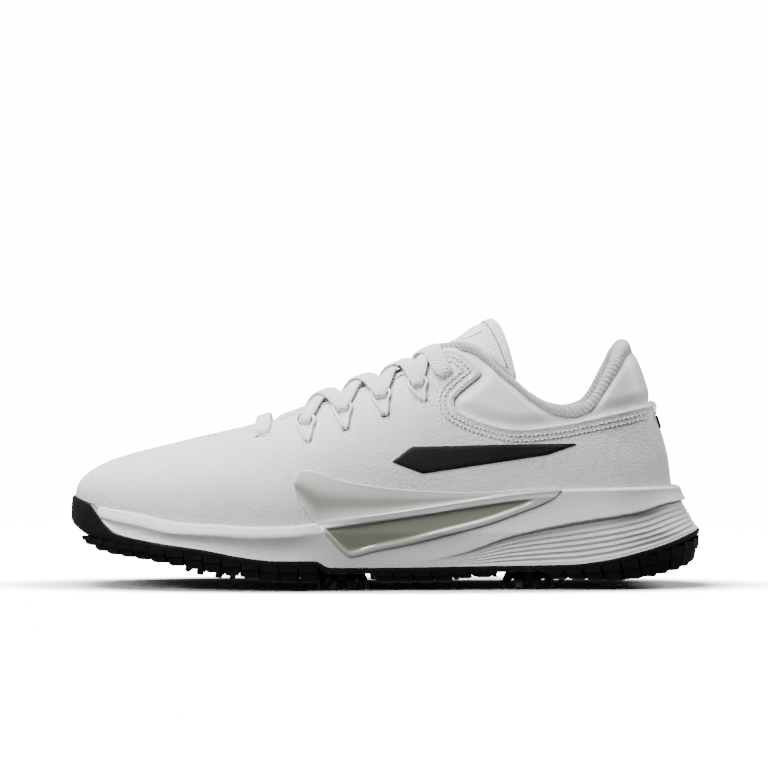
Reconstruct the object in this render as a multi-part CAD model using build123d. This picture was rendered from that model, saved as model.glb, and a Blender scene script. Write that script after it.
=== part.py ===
"""A spiked golf shoe for the left foot, built from the pieces that a shoemaker would lay out on a bench.

Frame, in millimetres: +X runs from toe to heel, -Y is the outer (lateral) side, +Y the inner (medial) side,
+Z is up. The origin is on the ground, under the middle of the shoe. The shoe stands on its spikes.
"""

from build123d import *
import math
import os

# ---------------------------------------------------------------- driving dimensions
TOE_X, HEEL_X = -151.0, 151.0        # ends of the sole
BALL_HALF_WIDTH = 55.0               # half the sole's greatest width
UPPER_TOE_X = -149.0                 # front of the upper
ANKLE_X = 100.0                      # centre of the rounding behind the heel
TOE_ROUND_X = -92.0                  # where the rounding of the toe begins
SOLE_HEEL_ROUND_X = 104.0            # where the rounding of the sole's heel begins
WIDE_Z, LEDGE_Z = 27.0, 52.0         # the sole block is full width up to WIDE_Z and drawn in at LEDGE_Z

LEATHER = 1.6                        # thickness of the upper's leather and smooth panels
GAP = 0.1                            # free space left between neighbouring layers
STIFFENER = 0.9                      # toe puff, heel counter and eyestay backers
LINING = 0.7                         # textile lining
COLLAR_PAD = 5.6                     # foam in the collar
OVERLAY = 0.6                        # bonded side accents
CLIP = 1.5                           # moulded side clip
TONGUE_COVER, TONGUE_FOAM, TONGUE_LINING = 1.2, 4.2, 0.7
BOARD, SOCK_FOAM, SOCK_COVER = 1.5, 4.2, 0.8
WELL_ROOM = 0.6                      # free space between the upper and the hollow of the sole
PLATE = 3.0                          # web of the outsole between its lugs

RIM_LUGS, RIM_LUG_DEPTH, RIM_LUG_GAP = 80, 11.0, 1.4

SEAT_Z = 8.0                         # height of a spike's seat over the tips of its legs
SPIKE_R, DISC_R, STEM_R, TAB_R = 12.4, 8.6, 4.0, 5.8
SPIKE_LEGS, TABS = 8, 3
BORE_R, CAVITY_R, CUP_R, FLANGE_R = 4.25, 6.1, 7.2, 9.0
STEM_TOP, TAB_BOTTOM, LIP_TOP, CAVITY_TOP, CUP_TOP = 12.2, 10.6, 10.3, 13.2, 14.6

# name: (x, y, height of the tips, forward tilt in degrees)
SPIKES = {
    "spike_front_lateral": (-82.0, -27.0, 6.4, 9.5),
    "spike_front_medial": (-88.0, 27.0, 7.4, 9.5),
    "spike_ball_lateral": (-19.5, -30.0, 0.0, 0.0),
    "spike_ball_medial": (-27.0, 27.0, 0.0, 0.0),
    "spike_arch_lateral": (68.0, -23.0, 0.0, 0.0),
    "spike_arch_medial": (76.0, 21.0, 0.0, 0.0),
    "spike_heel": (118.0, 0.0, 3.4, -8.0),
}

# Lace rows from the lowest up: (x, height) of the point at the side where the lace turns.
LACE_ROWS = [(-57.0, 74.0), (-37.0, 78.5), (-19.5, 84.5), (-1.3, 91.0), (16.2, 96.5), (29.0, 102.0)]
LOOP_ANCHORS = [(-36.0, 69.5), (-18.5, 75.5), (0.5, 82.0), (18.4, 88.5)]
LACE_WIDTH, LACE_THICK, CORD_R = 7.4, 1.4, 0.8

STIFF_IN, STIFF_OUT = LEATHER + GAP, LEATHER + GAP + STIFFENER
LACE_UNDER = (-(CORD_R * 2 + 0.7 + LACE_THICK), -(CORD_R * 2 + 0.7))
LACE_OVER = (-(CORD_R * 2 + 1.0 + 2 * LACE_THICK), -(CORD_R * 2 + 1.0 + LACE_THICK))


class Curve:
    """A smooth curve through a few (position, value) points that never overshoots them."""

    def __init__(self, *points):
        self.x = [p[0] for p in points]
        self.y = [p[1] for p in points]
        rise = [(b - a) / (d - c) for a, b, c, d in zip(self.y, self.y[1:], self.x, self.x[1:])]
        inner = [0.0 if p * q <= 0 else 2 * p * q / (p + q) for p, q in zip(rise, rise[1:])]
        self.slope = [rise[0], *inner, rise[-1]]

    def __call__(self, x):
        if x <= self.x[0]:
            return self.y[0]
        if x >= self.x[-1]:
            return self.y[-1]
        i = max(k for k in range(len(self.x) - 1) if self.x[k] <= x)
        width = self.x[i + 1] - self.x[i]
        t = (x - self.x[i]) / width
        return (
            (2 * t**3 - 3 * t**2 + 1) * self.y[i]
            + (t**3 - 2 * t**2 + t) * width * self.slope[i]
            + (3 * t**2 - 2 * t**3) * self.y[i + 1]
            + (t**3 - t**2) * width * self.slope[i + 1]
        )


# ---------------------------------------------------------------- lines of the shoe, along X
# Crown: the highest line of the upper, from the toe over the tongue and up the shin.
CROWN = Curve((-149, 43), (-147.5, 48.3), (-145, 51.8), (-137.5, 56.9), (-128.4, 61), (-114.6, 65.1),
              (-96, 69.4), (-82, 72.7), (-62, 77.8), (-45, 83.3), (-32, 88.3), (-15.5, 95), (9, 104.3),
              (25, 112.5), (40, 123), (52, 132), (75, 150), (100, 170), (140, 185))
# Crown of the side walls, which rises above the tongue's towards the collar.
WALL_CROWN = Curve((-149, 43), (-147.5, 48.3), (-145, 51.8), (-137.5, 56.9), (-128.4, 61), (-114.6, 65.1),
                   (-96, 69.4), (-82, 72.7), (-62, 77.8), (-45, 83.3), (-32, 88.3), (-15.5, 95.4), (0, 102.7),
                   (15, 111.5), (30, 124), (45, 139), (60, 153), (100, 175), (140, 188))
# Feather line: where the upper meets the top of the midsole.
FEATHER = Curve((-149, 42), (-139, 39.3), (-116, 35.4), (-97, 31.7), (-79, 30.8), (-60, 29.8), (-45, 30.1),
                (-31, 31.6), (3, 35.9), (38, 41.1), (64, 44.8), (81, 46.4), (103, 47.2), (140, 47.8))
# Underside of the foot bed, on which the upper is lasted.
LASTING = Curve((-149, 37.5), (-139, 33), (-120, 28), (-95, 24), (-60, 21), (-20, 20), (40, 21),
                (90, 23), (125, 25), (140, 27))
# Midsole above, outsole below.
SPLIT = Curve((-139.5, 39.5), (-135.2, 34.8), (-130.6, 29.9), (-126, 26.8), (-120.8, 25.2), (-105, 22.4),
              (-85.6, 19.7), (-62.8, 15.6), (-49.5, 14.3), (-32, 14.2), (-25, 11.1), (9, 10.9), (39, 11.4),
              (86, 12.1), (103.5, 14.1), (121, 18.2), (133.5, 21.8), (142.3, 24.9), (152, 28.4))
WEB = Curve((-152, 31), (-147, 28), (-140, 24.5), (-126, 21.8), (-105, 19.2), (-85.6, 16.7), (-62.8, 12.6),
            (-49.5, 11.3), (-32, 11.2), (-25, 8.1), (39, 8.4), (86, 9.1), (103.5, 11.1), (121, 15.2),
            (133.5, 18.8), (152, 25.4))
LUG_TIPS = Curve((-152, 26), (-147, 23.5), (-138, 20.5), (-129, 16.9), (-110, 14.2), (-97, 11.9), (-66, 6.6),
                 (-49, 4.4), (-6, 3.6), (27, 3.9), (40, 6), (60, 5.5), (85, 4.9), (103, 4.2), (129, 7.3),
                 (141, 10.5), (147, 14.3), (152, 20))
MIDLINE = Curve((-150, 7), (-120, 4), (-80, 1), (-40, 0), (140, 0))
# Half widths of the upper and of the sole on each side, before the ends are rounded.
UPPER_LATERAL = Curve((-150, 40), (-120, 45), (-95, 48.5), (-60, 50.5), (-30, 47.5), (10, 41.5), (50, 38),
                      (90, 36.5), (140, 36))
UPPER_MEDIAL = Curve((-150, 40), (-120, 45), (-95, 48.5), (-70, 49.5), (-40, 44.5), (0, 36.5), (40, 34),
                     (80, 34.5), (110, 35.5), (140, 36))
SOLE_LATERAL = Curve((-151, 44), (-120, 50), (-95, 53.5), (-60, BALL_HALF_WIDTH), (-30, 52), (10, 46),
                     (50, 43), (90, 42.5), (151, 42))
SOLE_MEDIAL = Curve((-151, 42), (-120, 49), (-95, 53), (-72, BALL_HALF_WIDTH), (-40, 49.5), (0, 41),
                    (40, 38.5), (80, 40), (110, 42), (151, 42))
# Heel of the upper, X against height.
HEEL_BACK = Curve((16, 137), (30, 138.5), (47.4, 138), (60, 136.7), (69, 134.6), (81, 131), (88, 128.4),
                  (95, 126.2), (104.5, 123), (110, 120.5), (131, 112))
LEAN = Curve((-60, 0.0), (0, 0.05), (60, 0.16), (140, 0.20))

# ---------------------------------------------------------------- edges drawn on the side view, (x, z)
CLIP_EDGE = [(-42, 50.2), (-39, 55.4), (-35.6, 55.8), (-22.6, 51.9), (-5.4, 48.5), (11.9, 46.6), (37.7, 45.4),
             (55, 45.7), (72.2, 46.6), (83, 46.9), (79.1, 42.9), (63.6, 36.4), (46.4, 30.4), (29.1, 26.1),
             (11.9, 21.8), (-5.4, 18.3), (-15.7, 15.9), (-18.3, 17.4), (-31.2, 31.2), (-37.3, 39),
             (-41.6, 46.8)]
TONGUE_BASE_END = 27.3


# ---------------------------------------------------------------- shape of the last
def steepness(curve, x):
    return (curve(x + 0.5) - curve(x - 0.5)) / 1.0


def arch_power(x):
    """How square the upper's cross-section is."""
    return 2.3 - 0.3 * min(1.0, max(0.0, (x + 120) / 60))


def rounded_end(distance, reach, power):
    """1 in the body of the shoe, falling to 0 at a rounded end that is reach further on."""
    share = max(0.0, min(1.0, distance / reach))
    return (1 - share**power) ** (1 / power)


def half_width(side, x, z, inset):
    """Half width of the upper at x and z, on side -1 (lateral) or +1 (medial), inset from its outer face."""
    toe = rounded_end(TOE_ROUND_X - x, TOE_ROUND_X - UPPER_TOE_X - inset, 2.2)
    heel = rounded_end(x - ANKLE_X, HEEL_BACK(z) - inset - ANKLE_X, 2.3)
    base = (UPPER_LATERAL if side < 0 else UPPER_MEDIAL)(x) - inset
    low, high = FEATHER(x), crown_height(x, inset)
    share = (z - low) / (high - low)
    if share >= 1:
        return 0.0
    power = arch_power(x)
    arch = (1 - max(0.0, share) ** power) ** (1 / power)
    lean = 1 - LEAN(x) * (max(0.0, z - low) / 70) ** 1.5
    return max(0.0, base * toe * heel * arch * lean)


def crown_height(x, inset):
    return CROWN(x) - inset * math.hypot(1, min(steepness(CROWN, x), 1.2))


def front_of_slice(z, inset):
    """Where a level cut at height z begins, at the toe or on the crown."""
    low, high = UPPER_TOE_X + inset, 110.0
    if crown_height(low, inset) >= z:
        return low
    for _ in range(50):
        middle = (low + high) / 2
        low, high = (middle, high) if crown_height(middle, inset) < z else (low, middle)
    return high


def level_outline(z, inset, count=13):
    """A closed spline round the upper at one height."""
    front, back = front_of_slice(z, inset) + 0.05, HEEL_BACK(z) - inset - 0.05
    along = [front + (back - front) * (1 - math.cos(math.pi * i / (count - 1))) / 2 for i in range(count)]
    ring = [(x, MIDLINE(x) - half_width(-1, x, z, inset), z) for x in along[:-1]]
    ring += [(x, MIDLINE(x) + half_width(1, x, z, inset), z) for x in reversed(along[1:])]
    ring[0] = (front, MIDLINE(front), z)
    ring[count - 1] = (back, 0.0, z)
    return Wire([Edge.make_spline([Vector(*p) for p in ring], periodic=True)])


def last(inset):
    """The body that the upper encloses, taken in from the outer face by inset."""
    spread = 0.3 * (inset + 8)
    levels = [16 - spread, 27, 36, 43, 48, 52.5, 57, 61.5, 66, 71, 77, 84, 92, 100, 109, 119, 131 + spread]
    return Solid.make_loft([level_outline(z, inset) for z in levels], ruled=False)


# ---------------------------------------------------------------- cutting tools
def wire_of(runs):
    """A closed wire: each run is a list of points, drawn as a spline when it has more than two."""
    edges = []
    for run in runs:
        points = [Vector(*p) for p in run]
        edges.append(Edge.make_line(*points) if len(points) == 2 else Edge.make_spline(points))
    return Wire(edges)


def side_solid(runs, y_low=-90.0, y_high=90.0):
    """A side view outline of (x, z) runs, extended across the shoe."""
    wire = wire_of([[(x, y_low, z) for x, z in run] for run in runs])
    return Solid.extrude(Face(wire), Vector(0, y_high - y_low, 0))


def side_polygon(points, y_low=-90.0, y_high=90.0):
    closed = [*points, points[0]]
    return side_solid(list(map(list, zip(closed, closed[1:]))), y_low, y_high)


def samples(curve, start, end, count=26, lift=0.0):
    return [(start + (end - start) * i / (count - 1), curve(start + (end - start) * i / (count - 1)) + lift)
            for i in range(count)]


def above(curve, start, end, lift=0.0, top=150.0):
    line = samples(curve, start, end, lift=lift)
    return side_solid([line, [line[-1], (end, top)], [(end, top), (start, top)], [(start, top), line[0]]])


def between(lower, upper, start, end, low_lift=0.0, high_lift=0.0):
    low, high = samples(lower, start, end, lift=low_lift), samples(upper, end, start, lift=high_lift)
    return side_solid([low, [low[-1], high[0]], high, [high[-1], low[0]]])


def plan_polygon(points, low, high):
    ring = [(x, y, low) for x, y in points]
    wire = Wire.make_polygon([Vector(*p) for p in ring], close=True)
    return Solid.extrude(Face(wire), Vector(0, 0, high - low))


def solids_of(shape, smallest=1.0):
    """The solids of a shape as one compound, without slivers."""
    kept = [s for s in shape.solids() if s.volume > smallest]
    return kept[0] if len(kept) == 1 else Compound(children=kept)


# ---------------------------------------------------------------- sole block
def sole_outline(drawn_in, z, count=25):
    """Outline of the sole block; drawn_in runs from 0 at its widest to 1 at the ledge."""
    toe, heel = TOE_X + 1.5 * drawn_in, HEEL_X - 10.5 * drawn_in
    side = 4.6 * drawn_in
    along = [toe + (heel - toe) * (1 - math.cos(math.pi * i / (count - 1))) / 2 for i in range(count)]

    def edge(x, curve):
        toe_end = rounded_end(TOE_ROUND_X - x, TOE_ROUND_X - toe, 2.2)
        heel_end = rounded_end(x - SOLE_HEEL_ROUND_X, heel - SOLE_HEEL_ROUND_X, 2.2)
        return (curve(x) - side) * toe_end * heel_end

    ring = [(x, MIDLINE(x) - edge(x, SOLE_LATERAL), z) for x in along[:-1]]
    ring += [(x, MIDLINE(x) + edge(x, SOLE_MEDIAL), z) for x in reversed(along[1:])]
    return ring


def sole_block(inset=0.0):
    def ring(drawn_in, z):
        points = sole_outline(drawn_in, z)
        if inset:
            points = [(x * (1 - inset / 150), y * (1 - inset / 46), z) for x, y, z in points]
        return Wire([Edge.make_spline([Vector(*p) for p in points], periodic=True)])

    return Solid.make_loft([ring(0, -2), ring(0, WIDE_Z), ring(1, LEDGE_Z)], ruled=True)


# ---------------------------------------------------------------- spikes and receptacles
def placed(shape, name):
    x, y, z, tilt = SPIKES[name]
    return shape.moved(Location((x, y, z), (0, tilt, 0)))


def cylinder(radius, low, high):
    return Solid.make_cylinder(radius, high - low, Plane((0, 0, low)))


def sector(radius, degrees, turn, low, high):
    """A slice of a cylinder, centred on the angle turn."""
    half = math.radians(degrees / 2)
    reach = radius / math.cos(half) + 1
    corners = [(0, 0), (reach * math.cos(half), -reach * math.sin(half)),
               (reach * math.cos(half), reach * math.sin(half))]
    wedge = plan_polygon(corners, low, high).rotate(Axis.Z, turn)
    return wedge & cylinder(radius, low, high)


def spike_base():
    """Hard disc and stem, with the tabs that lock under the receptacle's lip."""
    body = cylinder(DISC_R, 6.6, 7.7) + cylinder(STEM_R, 7.7, STEM_TOP)
    for k in range(TABS):
        body += sector(TAB_R, 40, 360 / TABS * k, TAB_BOTTOM, STEM_TOP)
    return body


def spike_legs():
    """Soft disc with bent legs that grip the turf, and two wrench holes in its middle."""
    body = cylinder(9.6, 4.6, 6.55) + cylinder(4.4, 3.2, 4.6)
    leg_outline = [(6.5, 6.4), (8.9, 6.4), (8.9, 7.5), (11.0, 6.9), (12.0, 4.6), (SPIKE_R, 1.2), (12.0, 0),
                   (10.9, 0), (10.4, 2.6), (8.6, 4.7), (6.5, 4.7)]
    for k in range(SPIKE_LEGS):
        ring = [Vector(r, -1.5, z) for r, z in leg_outline]
        leg = Solid.extrude(Face(Wire.make_polygon(ring, close=True)), Vector(0, 3.0, 0))
        body += leg.rotate(Axis.Z, 360 / SPIKE_LEGS * (k + 0.5))
    for x in (-2.5, 2.5):
        body -= cylinder(0.9, 3.0, 5.6).moved(Location((x, 0, 0)))
    return body


def receptacle():
    cup = cylinder(CUP_R, SEAT_Z, CUP_TOP) + cylinder(FLANGE_R, 9.0, 10.0)
    hollow = cylinder(BORE_R, SEAT_Z - 1, LIP_TOP) + cylinder(CAVITY_R, LIP_TOP, CAVITY_TOP)
    for k in range(TABS):
        hollow += sector(CAVITY_R, 46, 360 / TABS * k + 60, SEAT_Z - 1, LIP_TOP)
    return cup - hollow


# ---------------------------------------------------------------- outsole lugs
def rim_lugs():
    """Plan outlines of the lugs that stand round the edge of the outsole."""
    ring = [(x, y) for x, y, _ in sole_outline(0.06, 0, count=161)]
    ring.append(ring[0])
    lengths = [math.dist(a, b) for a, b in zip(ring, ring[1:])]
    total = sum(lengths)
    pitch = total / RIM_LUGS

    def at(distance):
        for (a, b), length in zip(zip(ring, ring[1:]), lengths):
            if distance <= length:
                t = distance / length
                tangent = ((b[0] - a[0]) / length, (b[1] - a[1]) / length)
                return (a[0] + t * (b[0] - a[0]), a[1] + t * (b[1] - a[1])), tangent
            distance -= length
        return ring[0], (0, -1)

    lugs = []
    for k in range(RIM_LUGS):
        (x, y), (tx, ty) = at(pitch * (k + 0.5))
        nx, ny = -ty, tx                       # points in from the edge
        if x < -143:
            continue
        slant = 3.0 if -15 < x < 120 else 0.0  # lugs lean back behind the ball
        lean = slant * (1 if y < 0 else -1)
        wide = (pitch - RIM_LUG_GAP) / 2
        narrow = wide * (0.72 if -115 < x < 120 else 0.5)
        lugs.append([
            (x - tx * wide, y - ty * wide),
            (x + tx * wide, y + ty * wide),
            (x + tx * (narrow + lean) + nx * RIM_LUG_DEPTH, y + ty * (narrow + lean) + ny * RIM_LUG_DEPTH),
            (x - tx * (narrow - lean) + nx * RIM_LUG_DEPTH, y - ty * (narrow - lean) + ny * RIM_LUG_DEPTH),
        ])
    return lugs


def field_lugs():
    """Plan outlines of the chevron-like lugs inside the rim, in staggered rows."""
    lugs = []
    for row in range(24):
        x = -122 + row * 10.8
        for column in range(-4, 5):
            y = column * 11.0 + (5.5 if row % 2 else 0) + MIDLINE(x)
            rounding = rounded_end(TOE_ROUND_X - x, 60, 2.2)
            margin = 19.5 + (7 if x > 96 else 0)
            room_low = MIDLINE(x) - SOLE_LATERAL(x) * rounding + margin
            room_high = MIDLINE(x) + SOLE_MEDIAL(x) * rounding - margin
            if room_low < y < room_high:
                lugs.append([(x - 3.6, y), (x - 0.4, y - 3.9), (x + 3.4, y - 3.0), (x + 1.6, y),
                             (x + 3.4, y + 3.0), (x - 0.4, y + 3.9)])
    return lugs


def clear_of_spikes(points):
    """Whether a lug leaves room for every spike."""
    centre = (sum(x for x, _ in points) / len(points), sum(y for _, y in points) / len(points))
    spots = [*points, centre, *[((a[0] + b[0]) / 2, (a[1] + b[1]) / 2) for a, b in zip(points, points[1:])]]
    return all(math.hypot(x - sx, y - sy) > SPIKE_R + 1.6
               for x, y in spots for sx, sy, _, _ in SPIKES.values())


def make_outsole(block, upper_body):
    plate = side_solid([
        [(-152, 43.4), (-139.5, 39.5)], samples(SPLIT, -139.5, 152, 30), [(152, SPLIT(152)), (152, WEB(152))],
        samples(WEB, 152, -152, 30), [(-152, WEB(-152)), (-152, 43.4)],
    ])
    toe_room = upper_body & Solid.make_box(40, 120, 80, Plane((-160, -60, 0)))
    web = (block & plate) - toe_room
    additions = []
    for points in rim_lugs() + field_lugs():
        if clear_of_spikes(points):
            x = sum(p[0] for p in points) / len(points)
            additions.append(plan_polygon(points, LUG_TIPS(x), WEB(x) + 1.4))
    for name in SPIKES:
        additions.append(placed(cylinder(11.8, SEAT_Z, SEAT_Z + 2.7), name))
    sole = web.fuse(*additions)
    pockets = []
    for name in SPIKES:
        pockets.append(placed(cylinder(CUP_R + 0.05, SEAT_Z - 3, CUP_TOP + 6), name))
        pockets.append(placed(cylinder(FLANGE_R + 0.05, 8.95, CUP_TOP + 6), name))
        pockets.append(placed(cylinder(SPIKE_R + 0.8, -6, SEAT_Z), name))
    return solids_of(sole.cut(*pockets), 20)


# ---------------------------------------------------------------- layers of the upper
def body_point(side, u, z, crown=WALL_CROWN):
    """A point of the upper's outer face. u is X up to the ankle, then half the angle round the heel."""
    turn = math.radians(max(0.0, u - ANKLE_X) * 2)
    ahead = min(1.0, math.sin(turn)) ** (2 / 2.3) if u > ANKLE_X else 0.0
    beside = max(0.0, math.cos(turn)) ** (2 / 2.3)
    x = min(u, ANKLE_X) + (HEEL_BACK(z) - ANKLE_X) * ahead
    base = (UPPER_LATERAL if side < 0 else UPPER_MEDIAL)(x)
    toe = rounded_end(TOE_ROUND_X - x, TOE_ROUND_X - UPPER_TOE_X, 2.2)
    share = (z - FEATHER(x)) / (crown(x) - FEATHER(x))
    power = arch_power(x)
    arch = (1 - min(1.0, max(0.0, share)) ** power) ** (1 / power)
    lean = 1 - LEAN(x) * (max(0.0, z - FEATHER(x)) / 70) ** 1.5
    return Vector(x, MIDLINE(x) + side * base * toe * arch * lean * beside, z)


def height_on(side, u, line):
    """Where a line drawn on the side view, as height against X, meets the station u."""
    z = line(min(u, ANKLE_X + 20))
    for _ in range(12):
        z = line(body_point(side, u, z).X)
    return z


def climb(side, u, low, high, count, crown=WALL_CROWN):
    """Points up the side of the upper from height low to height high, evenly spread over the arch."""
    x = body_point(side, u, (low + high) / 2).X
    power, rise = arch_power(x), crown(x) - FEATHER(x)

    def angle(z):
        share = (z - FEATHER(x)) / rise
        return math.asin(min(1.0, share) ** (power / 2)) if share > 0 else share * 1.3

    def height(a):
        share = math.sin(a) ** (2 / power) if a > 0 else a / 1.3
        return FEATHER(x) + share * rise

    first, final = angle(low), angle(high)
    steps = [first + (final - first) * k / (count - 1) for k in range(count)]
    return [body_point(side, u, height(a), crown) for a in steps]


def normals_of(grid):
    """Unit normals of a grid of points, pointing out of the shoe."""
    rows, columns = len(grid), len(grid[0])
    result = []
    for i in range(rows):
        line = []
        for j in range(columns):
            along = grid[min(i + 1, rows - 1)][j] - grid[max(i - 1, 0)][j]
            across = grid[i][min(j + 1, columns - 1)] - grid[i][max(j - 1, 0)]
            normal = along.cross(across).normalized()
            here = grid[i][j]
            x = max(-110.0, min(95.0, here.X))
            outward = here - Vector(x, MIDLINE(x), min(here.Z, FEATHER(x) + 8))
            line.append(normal if normal.dot(outward) > 0 else -normal)
        result.append(line)
    return result


def layer(grid, outer, inner):
    """A closed layer that follows a grid of points, from depth outer to depth inner."""
    normals = normals_of(grid)

    def offset(depth):
        rows = [[p - n * depth for p, n in zip(*pair)] for pair in zip(grid, normals)]
        return Face.make_surface_from_array_of_points(rows, tol=0.02)

    faces = [offset(outer), offset(inner)]
    for edge in faces[0].edges():
        partner = min(faces[1].edges(), key=lambda other: (other @ 0.5 - edge @ 0.5).length)
        faces.append(Face.make_surface_from_curves(edge, partner))
    body = Solid(Shell(faces))
    return body if body.volume > 0 else Solid(body.wrapped.Reversed())


def spaced(start, end, count, bunch=0.0):
    """Evenly spaced values; bunch draws them towards the start."""
    shares = [k / (count - 1) for k in range(count)]
    return [start + (end - start) * (t + bunch * (t**2 - t)) for t in shares]


def round_heel(front, count=26):
    """Stations from the lateral side round the heel to the medial side, starting at X = front."""
    lateral = [(-1, u) for u in spaced(front, ANKLE_X + 45, count)]
    return lateral + [(1, u) for _, u in reversed(lateral[:-1])]


def walls(stations, low, high, rows=6):
    """A grid over the upper's side between two lines of the side view."""
    return [climb(side, u, height_on(side, u, low), height_on(side, u, high), rows) for side, u in stations]


def height_at_width(side, x, width, crown=WALL_CROWN):
    """Height at which the upper is this far from its midline."""
    low, high = FEATHER(x), crown(x)
    for _ in range(40):
        middle = (low + high) / 2
        wide = abs(body_point(side, x, middle, crown).Y - MIDLINE(x)) > width
        low, high = (middle, high) if wide else (low, middle)
    return low


def over(stations, low, rows=8, crown=WALL_CROWN):
    """A grid that runs over the crown; low(side, x) gives the height at which it begins on each side."""
    grid = []
    for x in stations:
        left = climb(-1, x, low(-1, x), crown(x) - 0.001, rows, crown)
        right = climb(1, x, low(1, x), crown(x) - 0.001, rows, crown)
        grid.append(left[:-1] + [Vector(x, MIDLINE(x), crown(x))] + right[-2::-1])
    return grid


THROAT = Curve((-61, 9), (-50, 11.5), (-20, 13.5), (10, 14.5), (30, 16.5), (60, 22))
RIM = Curve((27, 113), (41, 113), (47.7, 108.5), (54.5, 101.7), (61.2, 96.3), (68.8, 89.6), (77.8, 84.3),
            (87.8, 82.3), (95.9, 84.5), (101.3, 89.5), (105.8, 96.3), (111.5, 106), (117, 112.5), (122, 114))
PANEL = Curve((20, 101), (27, 96), (36, 84), (43, 80.5), (52, 77.9), (61, 76.3), (69, 76.2), (87, 77.8),
              (105, 81.4), (124, 83.9), (140, 84.3))
COUNTER_TOP = Curve((70, 50), (84, 60), (100, 66), (140, 68))
PAD_FOOT = Curve((40, 72), (60, 66), (100, 66), (140, 68))


def lifted(line, amount):
    return lambda x: line(x) + amount


def eyestay_edge(side):
    """Top edge of a quarter: along the throat, then down to the collar panel."""
    def line(x):
        along_throat = height_at_width(side, max(x, -58.4), THROAT(x))
        if x < 16:
            return along_throat
        blend = min(1.0, (x - 16) / 14)
        return along_throat * (1 - blend) + (PANEL(x) - GAP) * blend
    return line


def make_upper(parts):
    inside = LASTING
    toe_stations = spaced(UPPER_TOE_X + 0.5, -58.6, 22, bunch=0.75)
    seat = lambda side, x: inside(x) + BOARD
    parts["vamp"] = layer(over(toe_stations, seat), 0.0, LEATHER)
    for side, name in ((-1, "lateral"), (1, "medial")):
        path = [(side, u) for u in spaced(-58.4, ANKLE_X + 40, 44)]
        foot, top = lifted(inside, BOARD), eyestay_edge(side)
        parts["quarter_" + name] = layer(walls(path, foot, top, 9), 0.0, LEATHER)
        beside = [(side, u) for u in spaced(-57, 14, 18)]
        low = lambda x, side=side: height_at_width(side, x, THROAT(x) + 9)
        backer = walls(beside, low, eyestay_edge(side), 4)
        parts["eyestay_backer_" + name] = layer(backer, STIFF_IN, STIFF_OUT)
        accent = [(side, u) for u in spaced(5, 89, 14)]
        upper_edge = Curve((5, 61), (14, 69), (70, 74.5), (89, 71))
        lower_edge = Curve((5, 60), (20, 57), (80, 64.5), (89, 70))
        parts["side_accent_" + name] = layer(walls(accent, lower_edge, upper_edge, 4), -OVERLAY - GAP, -GAP)
    at_back = round_heel(ANKLE_X + 40.3, 5)
    parts["heel_strip"] = layer(walls(at_back, lifted(inside, BOARD), lifted(PANEL, -GAP), 7), 0.0, LEATHER)
    badge = round_heel(ANKLE_X + 42.5, 3)
    parts["heel_badge"] = layer(walls(badge, lambda x: 75.2, lambda x: 81.4, 4), -OVERLAY - 0.15, -0.15)
    parts["collar_panel"] = layer(walls(round_heel(27.5), PANEL, RIM, 6), 0.0, LEATHER)

    puff = spaced(UPPER_TOE_X + 1.2, -116, 12, bunch=0.7)
    parts["toe_puff"] = layer(over(puff, seat), STIFF_IN, STIFF_OUT)
    counter_foot = lifted(inside, BOARD)
    counter = walls(round_heel(72, 16), counter_foot, COUNTER_TOP, 6)
    parts["heel_counter"] = layer(counter, STIFF_IN, STIFF_OUT)
    lining_in = STIFF_OUT + GAP
    front = spaced(UPPER_TOE_X + 2.0, -58.6, 20, bunch=0.7)
    parts["vamp_lining"] = layer(over(front, seat), lining_in, lining_in + LINING)
    for side, name in ((-1, "lateral"), (1, "medial")):
        path = [(side, u) for u in spaced(-58.4, 39, 24)]
        parts["quarter_lining_" + name] = layer(
            walls(path, lifted(inside, BOARD), lambda x, side=side: eyestay_edge(side)(x) - 1, 7),
            lining_in, lining_in + LINING)
    pad_out = STIFF_IN + COLLAR_PAD
    pad = walls(round_heel(45), PAD_FOOT, lifted(RIM, -1.2), 6)
    parts["collar_foam"] = layer(pad, STIFF_OUT + 0.2, pad_out)
    inner_face = walls(round_heel(45), lifted(inside, BOARD + 7), lifted(RIM, -0.6), 8)
    parts["collar_lining"] = layer(inner_face, pad_out + 0.35, pad_out + 0.35 + LINING)


TONGUE_LAYERS = (
    ("cover", 0.0, TONGUE_COVER),
    ("foam", TONGUE_COVER + GAP, TONGUE_COVER + GAP + TONGUE_FOAM),
    ("lining", TONGUE_COVER + TONGUE_FOAM + 2 * GAP, TONGUE_COVER + TONGUE_FOAM + 2 * GAP + TONGUE_LINING),
)


def flap_grid(rows=8, columns=8):
    """Grid over the free end of the tongue, whose wings sweep back round the shin."""
    grid = []
    for k in range(rows):
        share = k / (rows - 1)
        middle_x = 31.8 + 17.0 * share
        wing_x, wing_z = 42 + 17 * share, 113 - 8 * share**1.5
        line = []
        for j in range(-columns, columns + 1):
            part = abs(j) / columns
            x = middle_x + (wing_x - middle_x) * part**1.6
            z = CROWN(middle_x) + (wing_z - CROWN(middle_x)) * part**1.7
            z = min(z, CROWN(x) - 0.001)
            side = -1 if j < 0 else 1
            line.append(body_point(side, x, z, CROWN) if j else Vector(x, MIDLINE(x), CROWN(x)))
        grid.append(line)
    return grid


def make_tongue(parts):
    low = lambda side, x: height_at_width(side, x, THROAT(x) + 9.5, CROWN)
    base = over(spaced(-66, TONGUE_BASE_END, 22), low, 7, CROWN)
    flap = flap_grid()
    for name, start, end in TONGUE_LAYERS:
        parts["tongue_" + name] = layer(base, 3.7 + start, 3.7 + end)
        parts["tongue_flap_" + name] = layer(flap, 1.6 + start, 1.6 + end)
    patch = [row[5:-5] for row in flap[1:6]]
    parts["tongue_label"] = layer(patch, 1.6 - OVERLAY, 1.58)


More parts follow.
